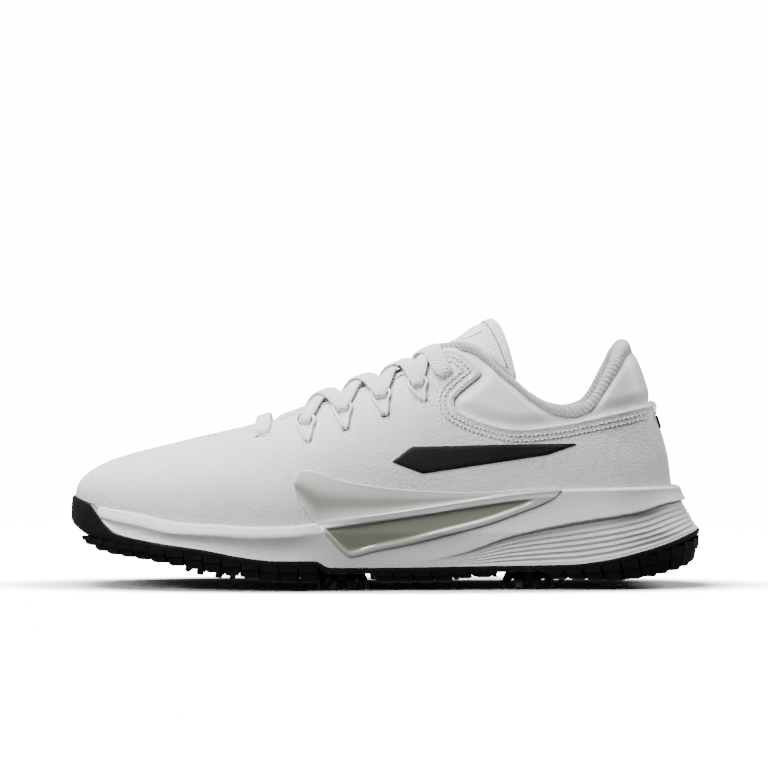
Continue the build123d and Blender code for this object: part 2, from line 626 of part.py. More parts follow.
def side_point(side, x, z, proud):
    """A point that stands proud of the upper's outer face, at x and z."""
    here = body_point(side, x, z)
    drop = (body_point(side, x, z - 1) - body_point(side, x, z + 1)).Y * side / 2
    length = math.hypot(1, drop)
    return Vector(x, here.Y + side * proud / length, z + proud * drop / length)


def cord_through(points, radius):
    """A thin cord along straight runs, rounded at its corners."""
    body = None
    for a, b in zip(points, points[1:]):
        run = Solid.make_cylinder(radius, (b - a).length, Plane(origin=a, z_dir=b - a))
        body = run if body is None else body + run
    for p in points[1:-1]:
        body += Solid.make_sphere(radius, Plane(p))
    return body


def draped(x, y):
    """A point of the surface that the laces lie on: the eyestays, and the tongue between them."""
    side, out = (-1 if y < MIDLINE(x) else 1), abs(y - MIDLINE(x))
    edge = THROAT(x)
    if out >= edge:
        return Vector(x, y, height_at_width(side, x, out))
    share = (out / edge) ** 2
    return Vector(x, y, CROWN(x) * (1 - share) + height_at_width(side, x, edge) * share)


def lace_strip(start, end, outer, inner, pieces=13):
    """A flat strip of lace lying over the crown from a lateral point (x, z) to a medial one."""
    (x0, z0), (x1, z1) = start, end
    y0, y1 = body_point(-1, x0, z0).Y, body_point(1, x1, z1).Y
    grid = []
    for k in range(pieces):
        share = k / (pieces - 1)
        x, y = x0 + (x1 - x0) * share, y0 + (y1 - y0) * share
        line = []
        for w in (-0.5, 0.0, 0.5):
            line.append(draped(x + w * LACE_WIDTH, y))
        grid.append(line)
    return layer(grid, outer, inner)


def make_laces(parts):
    for side, name in ((-1, "lateral"), (1, "medial")):
        loops = []
        for (x, z), (anchor_x, anchor_z) in zip(LACE_ROWS[1:5], LOOP_ANCHORS):
            proud = CORD_R + 0.5
            turns = [(anchor_x - 1.6, anchor_z), (x - 4.6, z - 1.5), (x - 3.6, z + 2.0), (x + 3.6, z + 2.0),
                     (x + 4.6, z - 1.5), (anchor_x + 1.6, anchor_z)]
            corners = [side_point(side, a, b, proud) for a, b in turns]
            loops.append(cord_through(corners, CORD_R))
        parts["lace_loops_" + name] = Compound(children=loops)
    strips = [lace_strip(LACE_ROWS[0], LACE_ROWS[0], *LACE_OVER)]
    for low, high in zip(LACE_ROWS[1:], LACE_ROWS[2:]):
        strips.append(lace_strip(low, high, *LACE_OVER))
        strips.append(lace_strip(high, low, *LACE_UNDER))
    parts["lace"] = Compound(children=strips)


# ---------------------------------------------------------------- sole
def foot_well():
    """The hollow of the sole in which the lasted upper sits, with a little room round it."""
    lateral = [(-1, u) for u in spaced(UPPER_TOE_X + 0.05, TOE_ROUND_X, 14, bunch=0.7)]
    lateral += [(-1, u) for u in spaced(TOE_ROUND_X + 10, ANKLE_X, 14)]
    lateral += [(-1, u) for u in spaced(ANKLE_X + 4, ANKLE_X + 45, 9)]
    stations = lateral + [(1, u) for _, u in reversed(lateral[:-1])]
    ring = [body_point(side, u, FEATHER(min(u, ANKLE_X))) for side, u in stations]
    points = [(p.X * (1 + WELL_ROOM / 140), p.Y * (1 + WELL_ROOM / 42)) for p in ring]
    return plan_polygon(points, 8, 60) & above(LASTING, -161, 150, lift=-0.35)


def make_sole(parts):
    block = sole_block()
    upper_body = foot_well()
    parts["outsole"] = make_outsole(block, upper_body)

    midsole_zone = side_solid([
        samples(SPLIT, -139, 152, 30, 0.12), [(152, SPLIT(152) + 0.12), (152, FEATHER(152) + 0.2)],
        samples(FEATHER, 152, -139, 24, 0.2), [(-139, FEATHER(-139) + 0.2), (-139, SPLIT(-139) + 0.12)],
    ])
    midsole = (block & midsole_zone) - upper_body
    shank_space = plan_polygon([(-13, -16), (52, -13), (52, 13), (-13, 16)], 8, 13.2)
    shank = shank_space & above(SPLIT, -40, 70, lift=0.15)
    cups = [placed(cylinder(FLANGE_R + 0.1, 4, CUP_TOP + 0.1), name) for name in SPIKES]
    parts["shank"] = solids_of(shank.cut(*cups))

    clip_zone = side_polygon(CLIP_EDGE, -70, -14)
    clip_top = Curve((-41, 52), (-39, 55.4), (-35.6, 55.6), (-22.6, 51.9), (-5.4, 48.5), (11.9, 46.6),
                     (37.7, 45.4), (55, 45.9), (72.2, 47.2), (80, 47.6))
    path = [(-1, u) for u in spaced(-40.5, 76, 26)]
    wing = layer(walls(path, lifted(FEATHER, 0.5), clip_top, 6), -CLIP, -0.05)
    skin = (block & clip_zone & midsole_zone).cut(sole_block(CLIP - 0.1))
    parts["side_clip"] = Compound(children=[wing, *[s for s in skin.solids() if s.volume > 30]])
    pocket = clip_zone.cut(sole_block(CLIP))
    parts["midsole"] = solids_of(midsole.cut(shank_space, pocket, *cups), 100)

    inner = last(STIFF_OUT + 2 * GAP + LINING + 0.5)
    parts["strobel_board"] = solids_of(inner & between(LASTING, LASTING, -148, 140, 0.1, BOARD))
    bed = last(STIFF_IN + COLLAR_PAD + 2 * GAP + LINING + 0.5)
    low = BOARD + GAP
    parts["sockliner_foam"] = solids_of(bed & between(LASTING, LASTING, -148, 140, low, low + SOCK_FOAM))
    low += SOCK_FOAM + GAP
    parts["sockliner_cover"] = solids_of(bed & between(LASTING, LASTING, -148, 140, low, low + SOCK_COVER))


def make_spikes(parts):
    cups, base, legs = [], spike_base(), spike_legs()
    for name in SPIKES:
        cups.append(placed(receptacle(), name))
        parts[name + "_base"] = placed(base, name)
        parts[name + "_legs"] = placed(legs, name)
    parts["spike_receptacles"] = Compound(children=cups)


def main():
    parts = {}
    make_spikes(parts)
    make_sole(parts)
    make_upper(parts)
    make_tongue(parts)
    make_laces(parts)
    os.makedirs("parts", exist_ok=True)
    for name, shape in parts.items():
        export_step(shape, "parts/" + name + ".step")


main()
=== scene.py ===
"""Looks of a white leather golf shoe for the left foot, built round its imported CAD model.

The shape functions work in millimetres: +X from toe to heel, -Y lateral, +Y medial, +Z up, ground at 0.
"""

import math

import bmesh
import bpy
import numpy as np
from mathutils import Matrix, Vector
from mathutils.kdtree import KDTree


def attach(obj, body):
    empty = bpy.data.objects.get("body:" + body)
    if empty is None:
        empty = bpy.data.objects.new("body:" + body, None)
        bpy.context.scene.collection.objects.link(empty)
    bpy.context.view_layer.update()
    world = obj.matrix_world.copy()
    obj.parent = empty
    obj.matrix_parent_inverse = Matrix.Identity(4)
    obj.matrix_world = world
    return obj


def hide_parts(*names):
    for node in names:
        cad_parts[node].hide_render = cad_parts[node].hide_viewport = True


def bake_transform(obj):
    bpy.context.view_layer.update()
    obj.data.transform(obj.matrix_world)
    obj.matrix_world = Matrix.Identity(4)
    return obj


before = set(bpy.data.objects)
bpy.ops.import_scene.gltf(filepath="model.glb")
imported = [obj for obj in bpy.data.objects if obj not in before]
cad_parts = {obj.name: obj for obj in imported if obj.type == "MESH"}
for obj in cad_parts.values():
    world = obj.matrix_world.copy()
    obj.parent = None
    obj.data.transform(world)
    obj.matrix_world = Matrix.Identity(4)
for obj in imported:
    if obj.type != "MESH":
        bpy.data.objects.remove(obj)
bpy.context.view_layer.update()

MM = 0.001
SHOE, FLAP = "shoe", "tongue_flap"

# ---------------------------------------------------------------- camera, floor and light


def make_camera():
    data = bpy.data.cameras.new("side_camera")
    data.sensor_width, data.lens = 36.0, 146.2
    camera = bpy.data.objects.new("side_camera", data)
    camera.location, camera.rotation_euler = (0, -1.5, 0.0965), (math.pi / 2, 0, 0)
    bpy.context.scene.collection.objects.link(camera)
    bpy.context.scene.camera = camera


def add_light(name, place, target, size, power, tint=(1, 1, 1)):
    data = bpy.data.lights.new(name, "AREA")
    data.shape, data.size, data.size_y = "RECTANGLE", size[0], size[1]
    data.energy, data.color = power, tint
    light = bpy.data.objects.new(name, data)
    light.location = place
    light.rotation_euler = (Vector(target) - Vector(place)).to_track_quat("-Z", "Y").to_euler()
    bpy.context.scene.collection.objects.link(light)


make_camera()

# ---------------------------------------------------------------- lines of the shoe


class Curve:
    """A smooth curve through a few (position, value) points that never overshoots them."""

    def __init__(self, *points):
        self.x = [p[0] for p in points]
        self.y = [p[1] for p in points]
        rise = [(b - a) / (d - c) for a, b, c, d in zip(self.y, self.y[1:], self.x, self.x[1:])]
        inner = [0.0 if p * q <= 0 else 2 * p * q / (p + q) for p, q in zip(rise, rise[1:])]
        self.slope = [rise[0], *inner, rise[-1]]

    def __call__(self, x):
        if x <= self.x[0]:
            return self.y[0]
        if x >= self.x[-1]:
            return self.y[-1]
        i = max(k for k in range(len(self.x) - 1) if self.x[k] <= x)
        width = self.x[i + 1] - self.x[i]
        t = (x - self.x[i]) / width
        return (
            (2 * t**3 - 3 * t**2 + 1) * self.y[i]
            + (t**3 - 2 * t**2 + t) * width * self.slope[i]
            + (3 * t**2 - 2 * t**3) * self.y[i + 1]
            + (t**3 - t**2) * width * self.slope[i + 1]
        )


TOE_X, HEEL_X, UPPER_TOE_X = -151.0, 151.0, -149.0
ANKLE_X, TOE_ROUND_X, SOLE_HEEL_ROUND_X = 100.0, -92.0, 104.0
WIDE_Z, LEDGE_Z, LEDGE_DRAW = 27.0, 52.0, 4.6
HEEL_U, TOE_STRIP = 145.0, 9.0
OVAL, HEEL_OVAL = 2.2, 2.3

TOE_CROWN = [(-149, 43), (-147.5, 48.3), (-145, 51.8), (-137.5, 56.9), (-128.4, 61), (-114.6, 65.1),
             (-96, 69.4), (-82, 72.7), (-62, 77.8), (-45, 83.3), (-32, 88.3)]
CROWN = Curve(*TOE_CROWN, (-15.5, 95), (9, 104.3), (25, 112.5), (40, 123), (52, 132), (75, 150), (100, 170),
              (140, 185))
WALL_CROWN = Curve(*TOE_CROWN, (-15.5, 95.4), (0, 102.7), (15, 111.5), (30, 124), (45, 139), (60, 153),
                   (100, 175), (140, 188))
FEATHER = Curve((-149, 42), (-139, 39.3), (-116, 35.4), (-97, 31.7), (-79, 30.8), (-60, 29.8), (-45, 30.1),
                (-31, 31.6), (3, 35.9), (38, 41.1), (64, 44.8), (81, 46.4), (103, 47.2), (140, 47.8))
SPLIT = Curve((-139.5, 39.5), (-135.2, 34.8), (-130.6, 29.9), (-126, 26.8), (-120.8, 25.2), (-105, 22.4),
              (-85.6, 19.7), (-62.8, 15.6), (-49.5, 14.3), (-32, 14.2), (-25, 11.1), (9, 10.9), (39, 11.4),
              (86, 12.1), (103.5, 14.1), (121, 18.2), (133.5, 21.8), (142.3, 24.9), (152, 28.4))
WEB = Curve((-152, 31), (-147, 28), (-140, 24.5), (-126, 21.8), (-105, 19.2), (-85.6, 16.7), (-62.8, 12.6),
            (-49.5, 11.3), (-32, 11.2), (-25, 8.1), (39, 8.4), (86, 9.1), (103.5, 11.1), (121, 15.2),
            (133.5, 18.8), (152, 25.4))
LUG_TIPS = Curve((-152, 26), (-147, 23.5), (-138, 20.5), (-129, 16.9), (-110, 14.2), (-97, 11.9), (-66, 6.6),
                 (-49, 4.4), (-6, 3.6), (27, 3.9), (40, 6), (60, 5.5), (85, 4.9), (103, 4.2), (129, 7.3),
                 (141, 10.5), (147, 14.3), (152, 20))
MIDLINE = Curve((-150, 7), (-120, 4), (-80, 1), (-40, 0), (140, 0))
UPPER_LATERAL = Curve((-150, 40), (-120, 45), (-95, 48.5), (-60, 50.5), (-30, 47.5), (10, 41.5), (50, 38),
                      (90, 36.5), (140, 36))
UPPER_MEDIAL = Curve((-150, 40), (-120, 45), (-95, 48.5), (-70, 49.5), (-40, 44.5), (0, 36.5), (40, 34),
                     (80, 34.5), (110, 35.5), (140, 36))
SOLE_LATERAL = Curve((-151, 44), (-120, 50), (-95, 53.5), (-60, 55), (-30, 52), (10, 46), (50, 43),
                     (90, 42.5), (151, 42))
SOLE_MEDIAL = Curve((-151, 42), (-120, 49), (-95, 53), (-72, 55), (-40, 49.5), (0, 41), (40, 38.5),
                    (80, 40), (110, 42), (151, 42))
HEEL_BACK = Curve((16, 137), (30, 138.5), (47.4, 138), (60, 136.7), (69, 134.6), (81, 131), (88, 128.4),
                  (95, 126.2), (104.5, 123), (110, 120.5), (131, 112))
LEAN = Curve((-60, 0.0), (0, 0.05), (60, 0.16), (140, 0.20))
THROAT = Curve((-61, 9), (-50, 11.5), (-20, 13.5), (10, 14.5), (30, 16.5), (60, 22))
RIM = Curve((20, 112.6), (27, 113.2), (36.4, 113.9), (41, 113), (47.7, 108.5), (54.5, 101.7), (61.2, 96.3),
            (68.8, 89.6), (77.8, 84.3), (87.8, 82.3), (95.9, 84.5), (101.3, 89.5), (105.8, 96.3), (111.5, 105),
            (115, 110.5), (119, 114))
# Line on the heel of the midsole where the smooth wall turns into the grooved flare.
FLARE_TOP = Curve((-20, 10.9), (22, 14.3), (39, 18.2), (61, 26), (92.5, 32.3), (124, 37), (141, 41),
                  (152, 42))


def smoothstep(low, high, x):
    t = min(1.0, max(0.0, (x - low) / (high - low)))
    return t * t * (3 - 2 * t)


def rounded_end(distance, reach, power=OVAL):
    share = max(0.0, min(1.0, distance / reach))
    return (1 - share**power) ** (1 / power)


def arch_power(x):
    return 2.3 - 0.3 * min(1.0, max(0.0, (x + 120) / 60))


def body_point(side, u, z, crown=WALL_CROWN):
    """A point of the upper's outer face. u is X up to the ankle, then half the angle round the heel."""
    turn = math.radians(max(0.0, u - ANKLE_X) * 2)
    ahead = min(1.0, math.sin(turn)) ** (2 / HEEL_OVAL) if u > ANKLE_X else 0.0
    beside = max(0.0, math.cos(turn)) ** (2 / HEEL_OVAL)
    x = min(u, ANKLE_X) + (HEEL_BACK(z) - ANKLE_X) * ahead
    base = (UPPER_LATERAL if side < 0 else UPPER_MEDIAL)(x)
    toe = rounded_end(TOE_ROUND_X - x, TOE_ROUND_X - UPPER_TOE_X)
    share = (z - FEATHER(x)) / (crown(x) - FEATHER(x))
    power = arch_power(x)
    arch = (1 - min(1.0, max(0.0, share)) ** power) ** (1 / power)
    lean = 1 - LEAN(x) * (max(0.0, z - FEATHER(x)) / 70) ** 1.5
    return Vector((x, MIDLINE(x) + side * base * toe * arch * lean * beside, z))


def station(x, z):
    """The station u that passes through X at height z."""
    if x <= ANKLE_X:
        return x
    share = min(1.0, (x - ANKLE_X) / (HEEL_BACK(z) - ANKLE_X))
    return ANKLE_X + math.degrees(math.asin(share ** (HEEL_OVAL / 2))) / 2


def climb_angle(x, z, crown=WALL_CROWN):
    share = (z - FEATHER(x)) / (crown(x) - FEATHER(x))
    return math.asin(min(1.0, share) ** (arch_power(x) / 2)) if share > 0 else share * 1.3


def climb_height(x, angle, crown=WALL_CROWN):
    share = math.sin(angle) ** (2 / arch_power(x)) if angle > 0 else angle / 1.3
    return FEATHER(x) + share * (crown(x) - FEATHER(x))


def grid_between(side, foot, top, shares, crown=WALL_CROWN):
    """Rows of points on the upper between two lines of (u, z), at the given shares of the way up."""
    columns = []
    for (u0, z0), (u1, z1) in zip(foot, top):
        x0, x1 = body_point(side, u0, z0).x, body_point(side, u1, z1).x
        a0, a1 = climb_angle(x0, z0, crown), climb_angle(x1, z1, crown)
        column = []
        for t in shares:
            x = x0 + (x1 - x0) * t
            z = climb_height(x, a0 + (a1 - a0) * t, crown)
            column.append(body_point(side, u0 + (u1 - u0) * t, z, crown))
        columns.append(column)
    return np.array([[tuple(p) for p in column] for column in columns])


def height_at_width(side, x, width, crown=WALL_CROWN):
    low, high = FEATHER(x), crown(x)
    for _ in range(30):
        middle = (low + high) / 2
        wide = abs(body_point(side, x, middle, crown).y - MIDLINE(x)) > width
        low, high = (middle, high) if wide else (low, middle)
    return low


def skin(side, x, z, proud=0.0):
    """A point over the upper at X and height z, and the direction out of the shoe there."""
    u = station(x, z)
    here = body_point(side, u, z)
    along = body_point(side, u + 0.4, z) - body_point(side, u - 0.4, z)
    up = body_point(side, u, z + 0.3) - body_point(side, u, z - 0.3)
    out = along.cross(up).normalized()
    if out.dot(here - Vector((min(95, max(-110, x)), MIDLINE(x), 45))) < 0:
        out = -out
    return here + out * proud, out


# ---------------------------------------------------------------- meshes


def grid_normals(grid, sign=None):
    along = np.gradient(grid, axis=0)
    across = np.gradient(grid, axis=1)
    normal = np.cross(along, across)
    normal /= np.linalg.norm(normal, axis=2, keepdims=True) + 1e-12
    x = np.clip(grid[..., 0], -110, 95)
    centre = np.stack([x, np.zeros_like(x), np.minimum(grid[..., 2], 45)], axis=2)
    flip = np.sign(np.sum(normal * (grid - centre), axis=2, keepdims=True))
    flip[flip == 0] = 1
    return normal * (flip if sign is None else sign)


def pushed(grid, amount):
    """The grid moved out of the shoe by amount, a number or an array."""
    amount = np.asarray(amount, float)
    if amount.ndim == 2:
        amount = amount[..., None]
    return grid + grid_normals(grid) * amount


def new_object(name, points, faces, material=None, smooth=40.0, body=SHOE):
    mesh = bpy.data.meshes.new(name)
    mesh.from_pydata([tuple(c * MM for c in p) for p in points], [], faces)
    mesh.validate()
    obj = bpy.data.objects.new(name, mesh)
    bpy.context.scene.collection.objects.link(obj)
    tidy_mesh(mesh, smooth)
    if material:
        mesh.materials.append(material)
    if body:
        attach(obj, body)
    return obj


def tidy_mesh(mesh, smooth, merge=0.00002):
    """Welds the mesh, turns its faces outward and keeps edges sharper than smooth degrees."""
    work = bmesh.new()
    work.from_mesh(mesh)
    bmesh.ops.remove_doubles(work, verts=work.verts, dist=merge)
    bmesh.ops.dissolve_degenerate(work, edges=work.edges, dist=merge / 4)
    bmesh.ops.recalc_face_normals(work, faces=work.faces)
    limit = math.radians(smooth)
    for face in work.faces:
        face.smooth = True
    for edge in work.edges:
        edge.smooth = not (edge.is_manifold and edge.calc_face_angle(0) > limit)
    work.to_mesh(mesh)
    work.free()


def ring_faces(rings, size):
    """Faces between rings of points that follow each other."""
    return [(r * size + k, r * size + m, (r + 1) * size + m, (r + 1) * size + k)
            for r in range(rings - 1) for k in range(size) for m in [(k + 1) % size]]


def travel(grid, axis):
    """Distance run along each line of a grid of points, in millimetres."""
    first = np.take(grid, [0], axis=axis)
    return np.cumsum(np.linalg.norm(np.diff(grid, axis=axis, prepend=first), axis=2), axis=axis)


def grid_faces(rows, columns, start=0, flip=False):
    faces = []
    for i in range(rows - 1):
        for j in range(columns - 1):
            a = start + i * columns + j
            face = (a, a + columns, a + columns + 1, a + 1)
            faces.append(face[::-1] if flip else face)
    return faces


def border_of(rows, columns):
    loop = [(0, j) for j in range(columns)] + [(i, columns - 1) for i in range(1, rows)]
    loop += [(rows - 1, j) for j in range(columns - 2, -1, -1)] + [(i, 0) for i in range(rows - 2, 0, -1)]
    return loop


def slab(name, outer, inner, material, bulge=1.0, smooth=50.0, body=SHOE):
    """A closed sheet between two grids, with a rounded rim."""
    rows, columns = outer.shape[:2]
    points = [tuple(p) for p in outer.reshape(-1, 3)] + [tuple(p) for p in inner.reshape(-1, 3)]
    count = rows * columns
    faces = grid_faces(rows, columns) + grid_faces(rows, columns, count, True)
    loop = border_of(rows, columns)
    previous = [i * columns + j for i, j in loop]
    rings = []
    for angle in (math.pi / 4, math.pi / 2, math.pi * 3 / 4):
        ring = []
        for i, j in loop:
            near = (min(max(i, 1), rows - 2), min(max(j, 1), columns - 2))
            o, n = outer[i, j], inner[i, j]
            away = outer[i, j] - outer[near]
            thick = o - n
            half = np.linalg.norm(thick) / 2
            unit = thick / (2 * half + 1e-9)
            away = away - unit * np.dot(away, unit)
            away /= np.linalg.norm(away) + 1e-9
            middle = (o + n) / 2
            turned = unit * half * math.cos(angle) + away * half * bulge * math.sin(angle)
            points.append(tuple(middle + turned))
            ring.append(len(points) - 1)
        rings.append(ring)
    rings.append([count + i * columns + j for i, j in loop])
    for ring in rings:
        for k in range(len(ring)):
            m = (k + 1) % len(ring)
            faces.append((previous[k], previous[m], ring[m], ring[k]))
        previous = ring
    return new_object(name, points, faces, material, smooth, body)


def tube(path, radii, frames=None, sides=10):
    """Points and faces of a swept section; radii gives (across, up) half sizes per path point."""
    path = [Vector(p) for p in path]
    points, across = [], None
    for i, p in enumerate(path):
        ahead = (path[min(i + 1, len(path) - 1)] - path[max(i - 1, 0)]).normalized()
        if frames is not None:
            up = Vector(frames[i])
        elif across is not None:
            up = ahead.cross(across)
        else:
            up = Vector((0, 0, 1)) if abs(ahead.z) < 0.9 else Vector((1, 0, 0))
        across = up.cross(ahead).normalized() if frames is not None or across is None else (
            across - ahead * across.dot(ahead)).normalized()
        up = ahead.cross(across).normalized()
        wide, tall = radii[i] if isinstance(radii, list) else radii
        for k in range(sides):
            angle = 2 * math.pi * k / sides
            c, s = math.cos(angle), math.sin(angle)
            if wide > tall * 1.6:
                c = math.copysign(abs(c) ** 0.55, c)
                s = math.copysign(abs(s) ** 0.8, s)
            points.append(p + across * wide * c + up * tall * s)
    faces = ring_faces(len(path), sides)
    faces.append(tuple(range(sides))[::-1])
    faces.append(tuple((len(path) - 1) * sides + k for k in range(sides)))
    return points, faces


def gathered(name, lots, material, smooth=60.0, body=SHOE):
    """One object from several (points, faces)."""
    points, faces = [], []
    for some, others in lots:
        base = len(points)
        points += some
        faces += [tuple(base + k for k in face) for face in others]
    return new_object(name, points, faces, material, smooth, body)


def spline(points, i, t):
    """The point at share t of the smooth span that starts at points[i]."""
    p1, p2 = points[i], points[i + 1]
    p0 = points[i - 1] if i else p1 * 2 - p2
    p3 = points[i + 2] if i + 2 < len(points) else p2 * 2 - p1
    return 0.5 * (2 * p1 + (p2 - p0) * t + (2 * p0 - 5 * p1 + 4 * p2 - p3) * t**2
                  + (3 * p1 - p0 - 3 * p2 + p3) * t**3)


def smooth_path(points, step=1.0):
    """A smooth path through the points, resampled evenly."""
    points = [Vector(p) for p in points]
    dense = [spline(points, i, k / 16) for i in range(len(points) - 1) for k in range(16)]
    dense.append(points[-1])
    lengths = [0.0]
    for a, b in zip(dense, dense[1:]):
        lengths.append(lengths[-1] + (b - a).length)
    count = max(2, round(lengths[-1] / step) + 1)
    result, k = [], 0
    for i in range(count):
        goal = lengths[-1] * i / (count - 1)
        while k < len(lengths) - 2 and lengths[k + 1] < goal:
            k += 1
        t = (goal - lengths[k]) / max(1e-9, lengths[k + 1] - lengths[k])
        result.append(dense[k].lerp(dense[k + 1], t))
    return result


def beside_path(path, distance):
    """A path in the side view moved square to itself; positive is to the left of its direction."""
    moved = []
    for i, p in enumerate(path):
        ahead = (path[min(i + 1, len(path) - 1)] - path[max(i - 1, 0)]).normalized()
        moved.append(p + Vector((-ahead.y, ahead.x)) * distance)
    return moved


def stitches(name, runs, material, body=SHOE):
    """Small thread stitches. Each run is (side, side-view path, pitch, length, slant in degrees, proud)."""
    lots = []
    for side, path, pitch, length, slant, proud in runs:
        spots = smooth_path([(p[0], p[1], 0) for p in path], pitch)
        for i in range(1, len(spots) - 1):
            ahead = (spots[i + 1] - spots[i - 1]).normalized()
            turn = math.radians(slant if i % 2 else -slant)
            way = Vector((ahead.x * math.cos(turn) - ahead.y * math.sin(turn),
                          ahead.x * math.sin(turn) + ahead.y * math.cos(turn)))
            ends = []
            for t, lift in ((-0.5, -0.35), (-0.3, 0.12), (0, 0.26), (0.3, 0.12), (0.5, -0.35)):
                x, z = spots[i].x + way.x * length * t, spots[i].y + way.y * length * t
                ends.append(skin(side, x, z, proud + lift)[0])
            lots.append(tube(ends, (0.33, 0.33), sides=6))
    return gathered(name, lots, material, body=body)


# ---------------------------------------------------------------- materials


def connect(tree, slot, value):
    """Gives a socket a link or a plain value."""
    if isinstance(value, Value):
        value = value.socket
    if isinstance(value, bpy.types.NodeSocket):
        tree.links.new(value, slot)
    else:
        slot.default_value = value


def operator(operation, swap=False):
    def apply(value, *others):
        node = value.tree.nodes.new("ShaderNodeMath")
        node.operation = operation
        terms = [value, *others][::-1] if swap else [value, *others]
        for slot, term in zip(node.inputs, terms):
            connect(value.tree, slot, term)
        return Value(value.tree, node.outputs[0])

    return apply


class Value:
    """A number that flows through a material; arithmetic on it adds the nodes that do it."""

    def __init__(self, tree, socket):
        self.tree, self.socket = tree, socket

    __add__ = __radd__ = operator("ADD")
    __sub__ = operator("SUBTRACT")
    __rsub__ = operator("SUBTRACT", swap=True)
    __mul__ = __rmul__ = operator("MULTIPLY")
    __truediv__ = operator("DIVIDE")
    __rtruediv__ = operator("DIVIDE", swap=True)
    __pow__ = operator("POWER")
    sine = operator("SINE")
    largest = operator("MAXIMUM")

    def fade(self, low, high):
        """0 below low, 1 above high, smooth between."""
        node = self.tree.nodes.new("ShaderNodeMapRange")
        node.interpolation_type = "SMOOTHSTEP"
        self.tree.links.new(self.socket, node.inputs[0])
        node.inputs[1].default_value, node.inputs[2].default_value = low, high
        return Value(self.tree, node.outputs[0])


class Finish:
    """A material under construction."""

    def __init__(self, name, colour, roughness=0.5, **sockets):
        self.material = bpy.data.materials.new(name)
        self.material.use_nodes = True
        self.material.diffuse_color = (*colour, 1)
        self.tree = self.material.node_tree
        self.shader = self.tree.nodes["Principled BSDF"]
        self.set("Base Color", (*colour, 1))
        self.set("Roughness", roughness)
        for socket, value in sockets.items():
            self.set(socket.replace("_", " "), value)
        place = self.tree.nodes.new("ShaderNodeTexCoord")
        self.place = place.outputs["Object"]

    def set(self, socket, value):
        connect(self.tree, self.shader.inputs[socket], value)

    def node(self, kind, settings=(), output=0, **sockets):
        """Any other node: its type, its settings, then the values or links of its sockets."""
        node = self.tree.nodes.new("ShaderNode" + kind)
        for key, value in dict(settings).items():
            setattr(node, key, value)
        for key, value in sockets.items():
            connect(self.tree, node.inputs[key.replace("_", " ")], value)
        return Value(self.tree, node.outputs[output])

    def scaled(self, x, y, z):
        """Object position in metres, stretched."""
        return self.node("Mapping", Vector=self.place, Scale=(x, y, z)).socket

    def noise(self, scale, detail=3.0, roughness=0.55, where=None, distortion=0.0):
        return self.node("TexNoise", Vector=where or self.place, Scale=scale, Detail=detail,
                         Roughness=roughness, Distortion=distortion)

    def cells(self, scale, where=None, feature="F1"):
        where = where or self.place
        return self.node("TexVoronoi", {"feature": feature}, "Distance", Vector=where, Scale=scale)

    def attribute(self, name):
        return self.node("Attribute", {"attribute_name": name}, "Fac")

    def mix(self, low, high, factor):
        """A colour that runs from low to high with factor."""
        colour = self.node("Mix", {"data_type": "RGBA"}, 2, Factor=factor)
        inputs = colour.socket.node.inputs
        inputs[6].default_value, inputs[7].default_value = (*low, 1), (*high, 1)
        return colour

    def shade(self, low, high, factor):
        self.set("Base Color", self.mix(low, high, factor))

    def bump(self, height, strength=0.5, distance=0.0002):
        self.set("Normal", self.node("Bump", Strength=strength, Distance=distance, Height=height))
        return self.material


def warped(finish, amount, scale):
    """Object position shifted by noise, so that a grain doesn't line up."""
    noise = finish.node("TexNoise", output="Color", Vector=finish.place, Scale=scale, Detail=2)
    shift = finish.node("VectorMath", {"operation": "MULTIPLY_ADD"})
    for slot, value in zip(shift.socket.node.inputs, (noise, (amount, amount, amount), finish.place)):
        connect(finish.tree, slot, value)
    return shift.socket


def tumbled_leather():
    f = Finish("tumbled_leather", (0.84, 0.845, 0.85), 0.42, Specular_IOR_Level=0.45)
    where = warped(f, 0.0016, 260)
    grain = f.cells(620, where, "DISTANCE_TO_EDGE")
    fine = f.cells(1350, where, "DISTANCE_TO_EDGE")
    pores = f.noise(2600, 2)
    crease = f.noise(42, 5, 0.6, f.scaled(1.0, 1.0, 2.2), 0.6)
    furrow = grain.fade(0.0, 0.16)
    height = furrow * 0.7 + fine.fade(0.0, 0.2) * 0.25 + pores * 0.12 + crease * 0.9
    f.shade((0.70, 0.71, 0.725), (0.85, 0.853, 0.858), furrow * 0.5 + 0.5)
    f.set("Roughness", 0.52 - furrow * 0.1 + pores * 0.06)
    return f.bump(height, 0.9, 0.0004)


def smooth_leather(name="smooth_leather", colour=(0.82, 0.825, 0.83)):
    f = Finish(name, colour, 0.38, Specular_IOR_Level=0.45)
    pores = f.noise(1900, 3)
    broad = f.noise(60, 3)
    f.shade(tuple(c * 0.96 for c in colour), colour, broad)
    f.set("Roughness", 0.34 + pores * 0.12)
    return f.bump(pores * 0.4 + f.cells(900) * 0.2 + broad * 0.5, 0.16, 0.00015)


def knit_lining():
    f = Finish("knit_lining", (0.52, 0.53, 0.54), 0.85, Sheen_Weight=0.3)
    along, across = f.attribute("along"), f.attribute("across")
    rib = (along * 2.7 + across * 2.1).sine()
    loop = (along * 5.2 - across * 6.1).sine()
    mesh = rib * 0.75 + loop * 0.25
    f.shade((0.20, 0.205, 0.21), (0.50, 0.51, 0.52), mesh * 0.4 + 0.5 + f.noise(500, 2) * 0.2 - 0.1)
    return f.bump(mesh, 0.5, 0.0004)


def woven_lace():
    f = Finish("woven_lace", (0.83, 0.835, 0.84), 0.75, Sheen_Weight=0.25)
    along, across = f.attribute("along"), f.attribute("across")
    first = (along * 3.4 + across * 3.4).sine()
    second = (along * 3.4 - across * 3.4).sine()
    weave = first.largest(second)
    f.shade((0.62, 0.63, 0.64), (0.86, 0.862, 0.866), weave.fade(-0.5, 0.5))
    return f.bump(weave, 0.6, 0.0004)


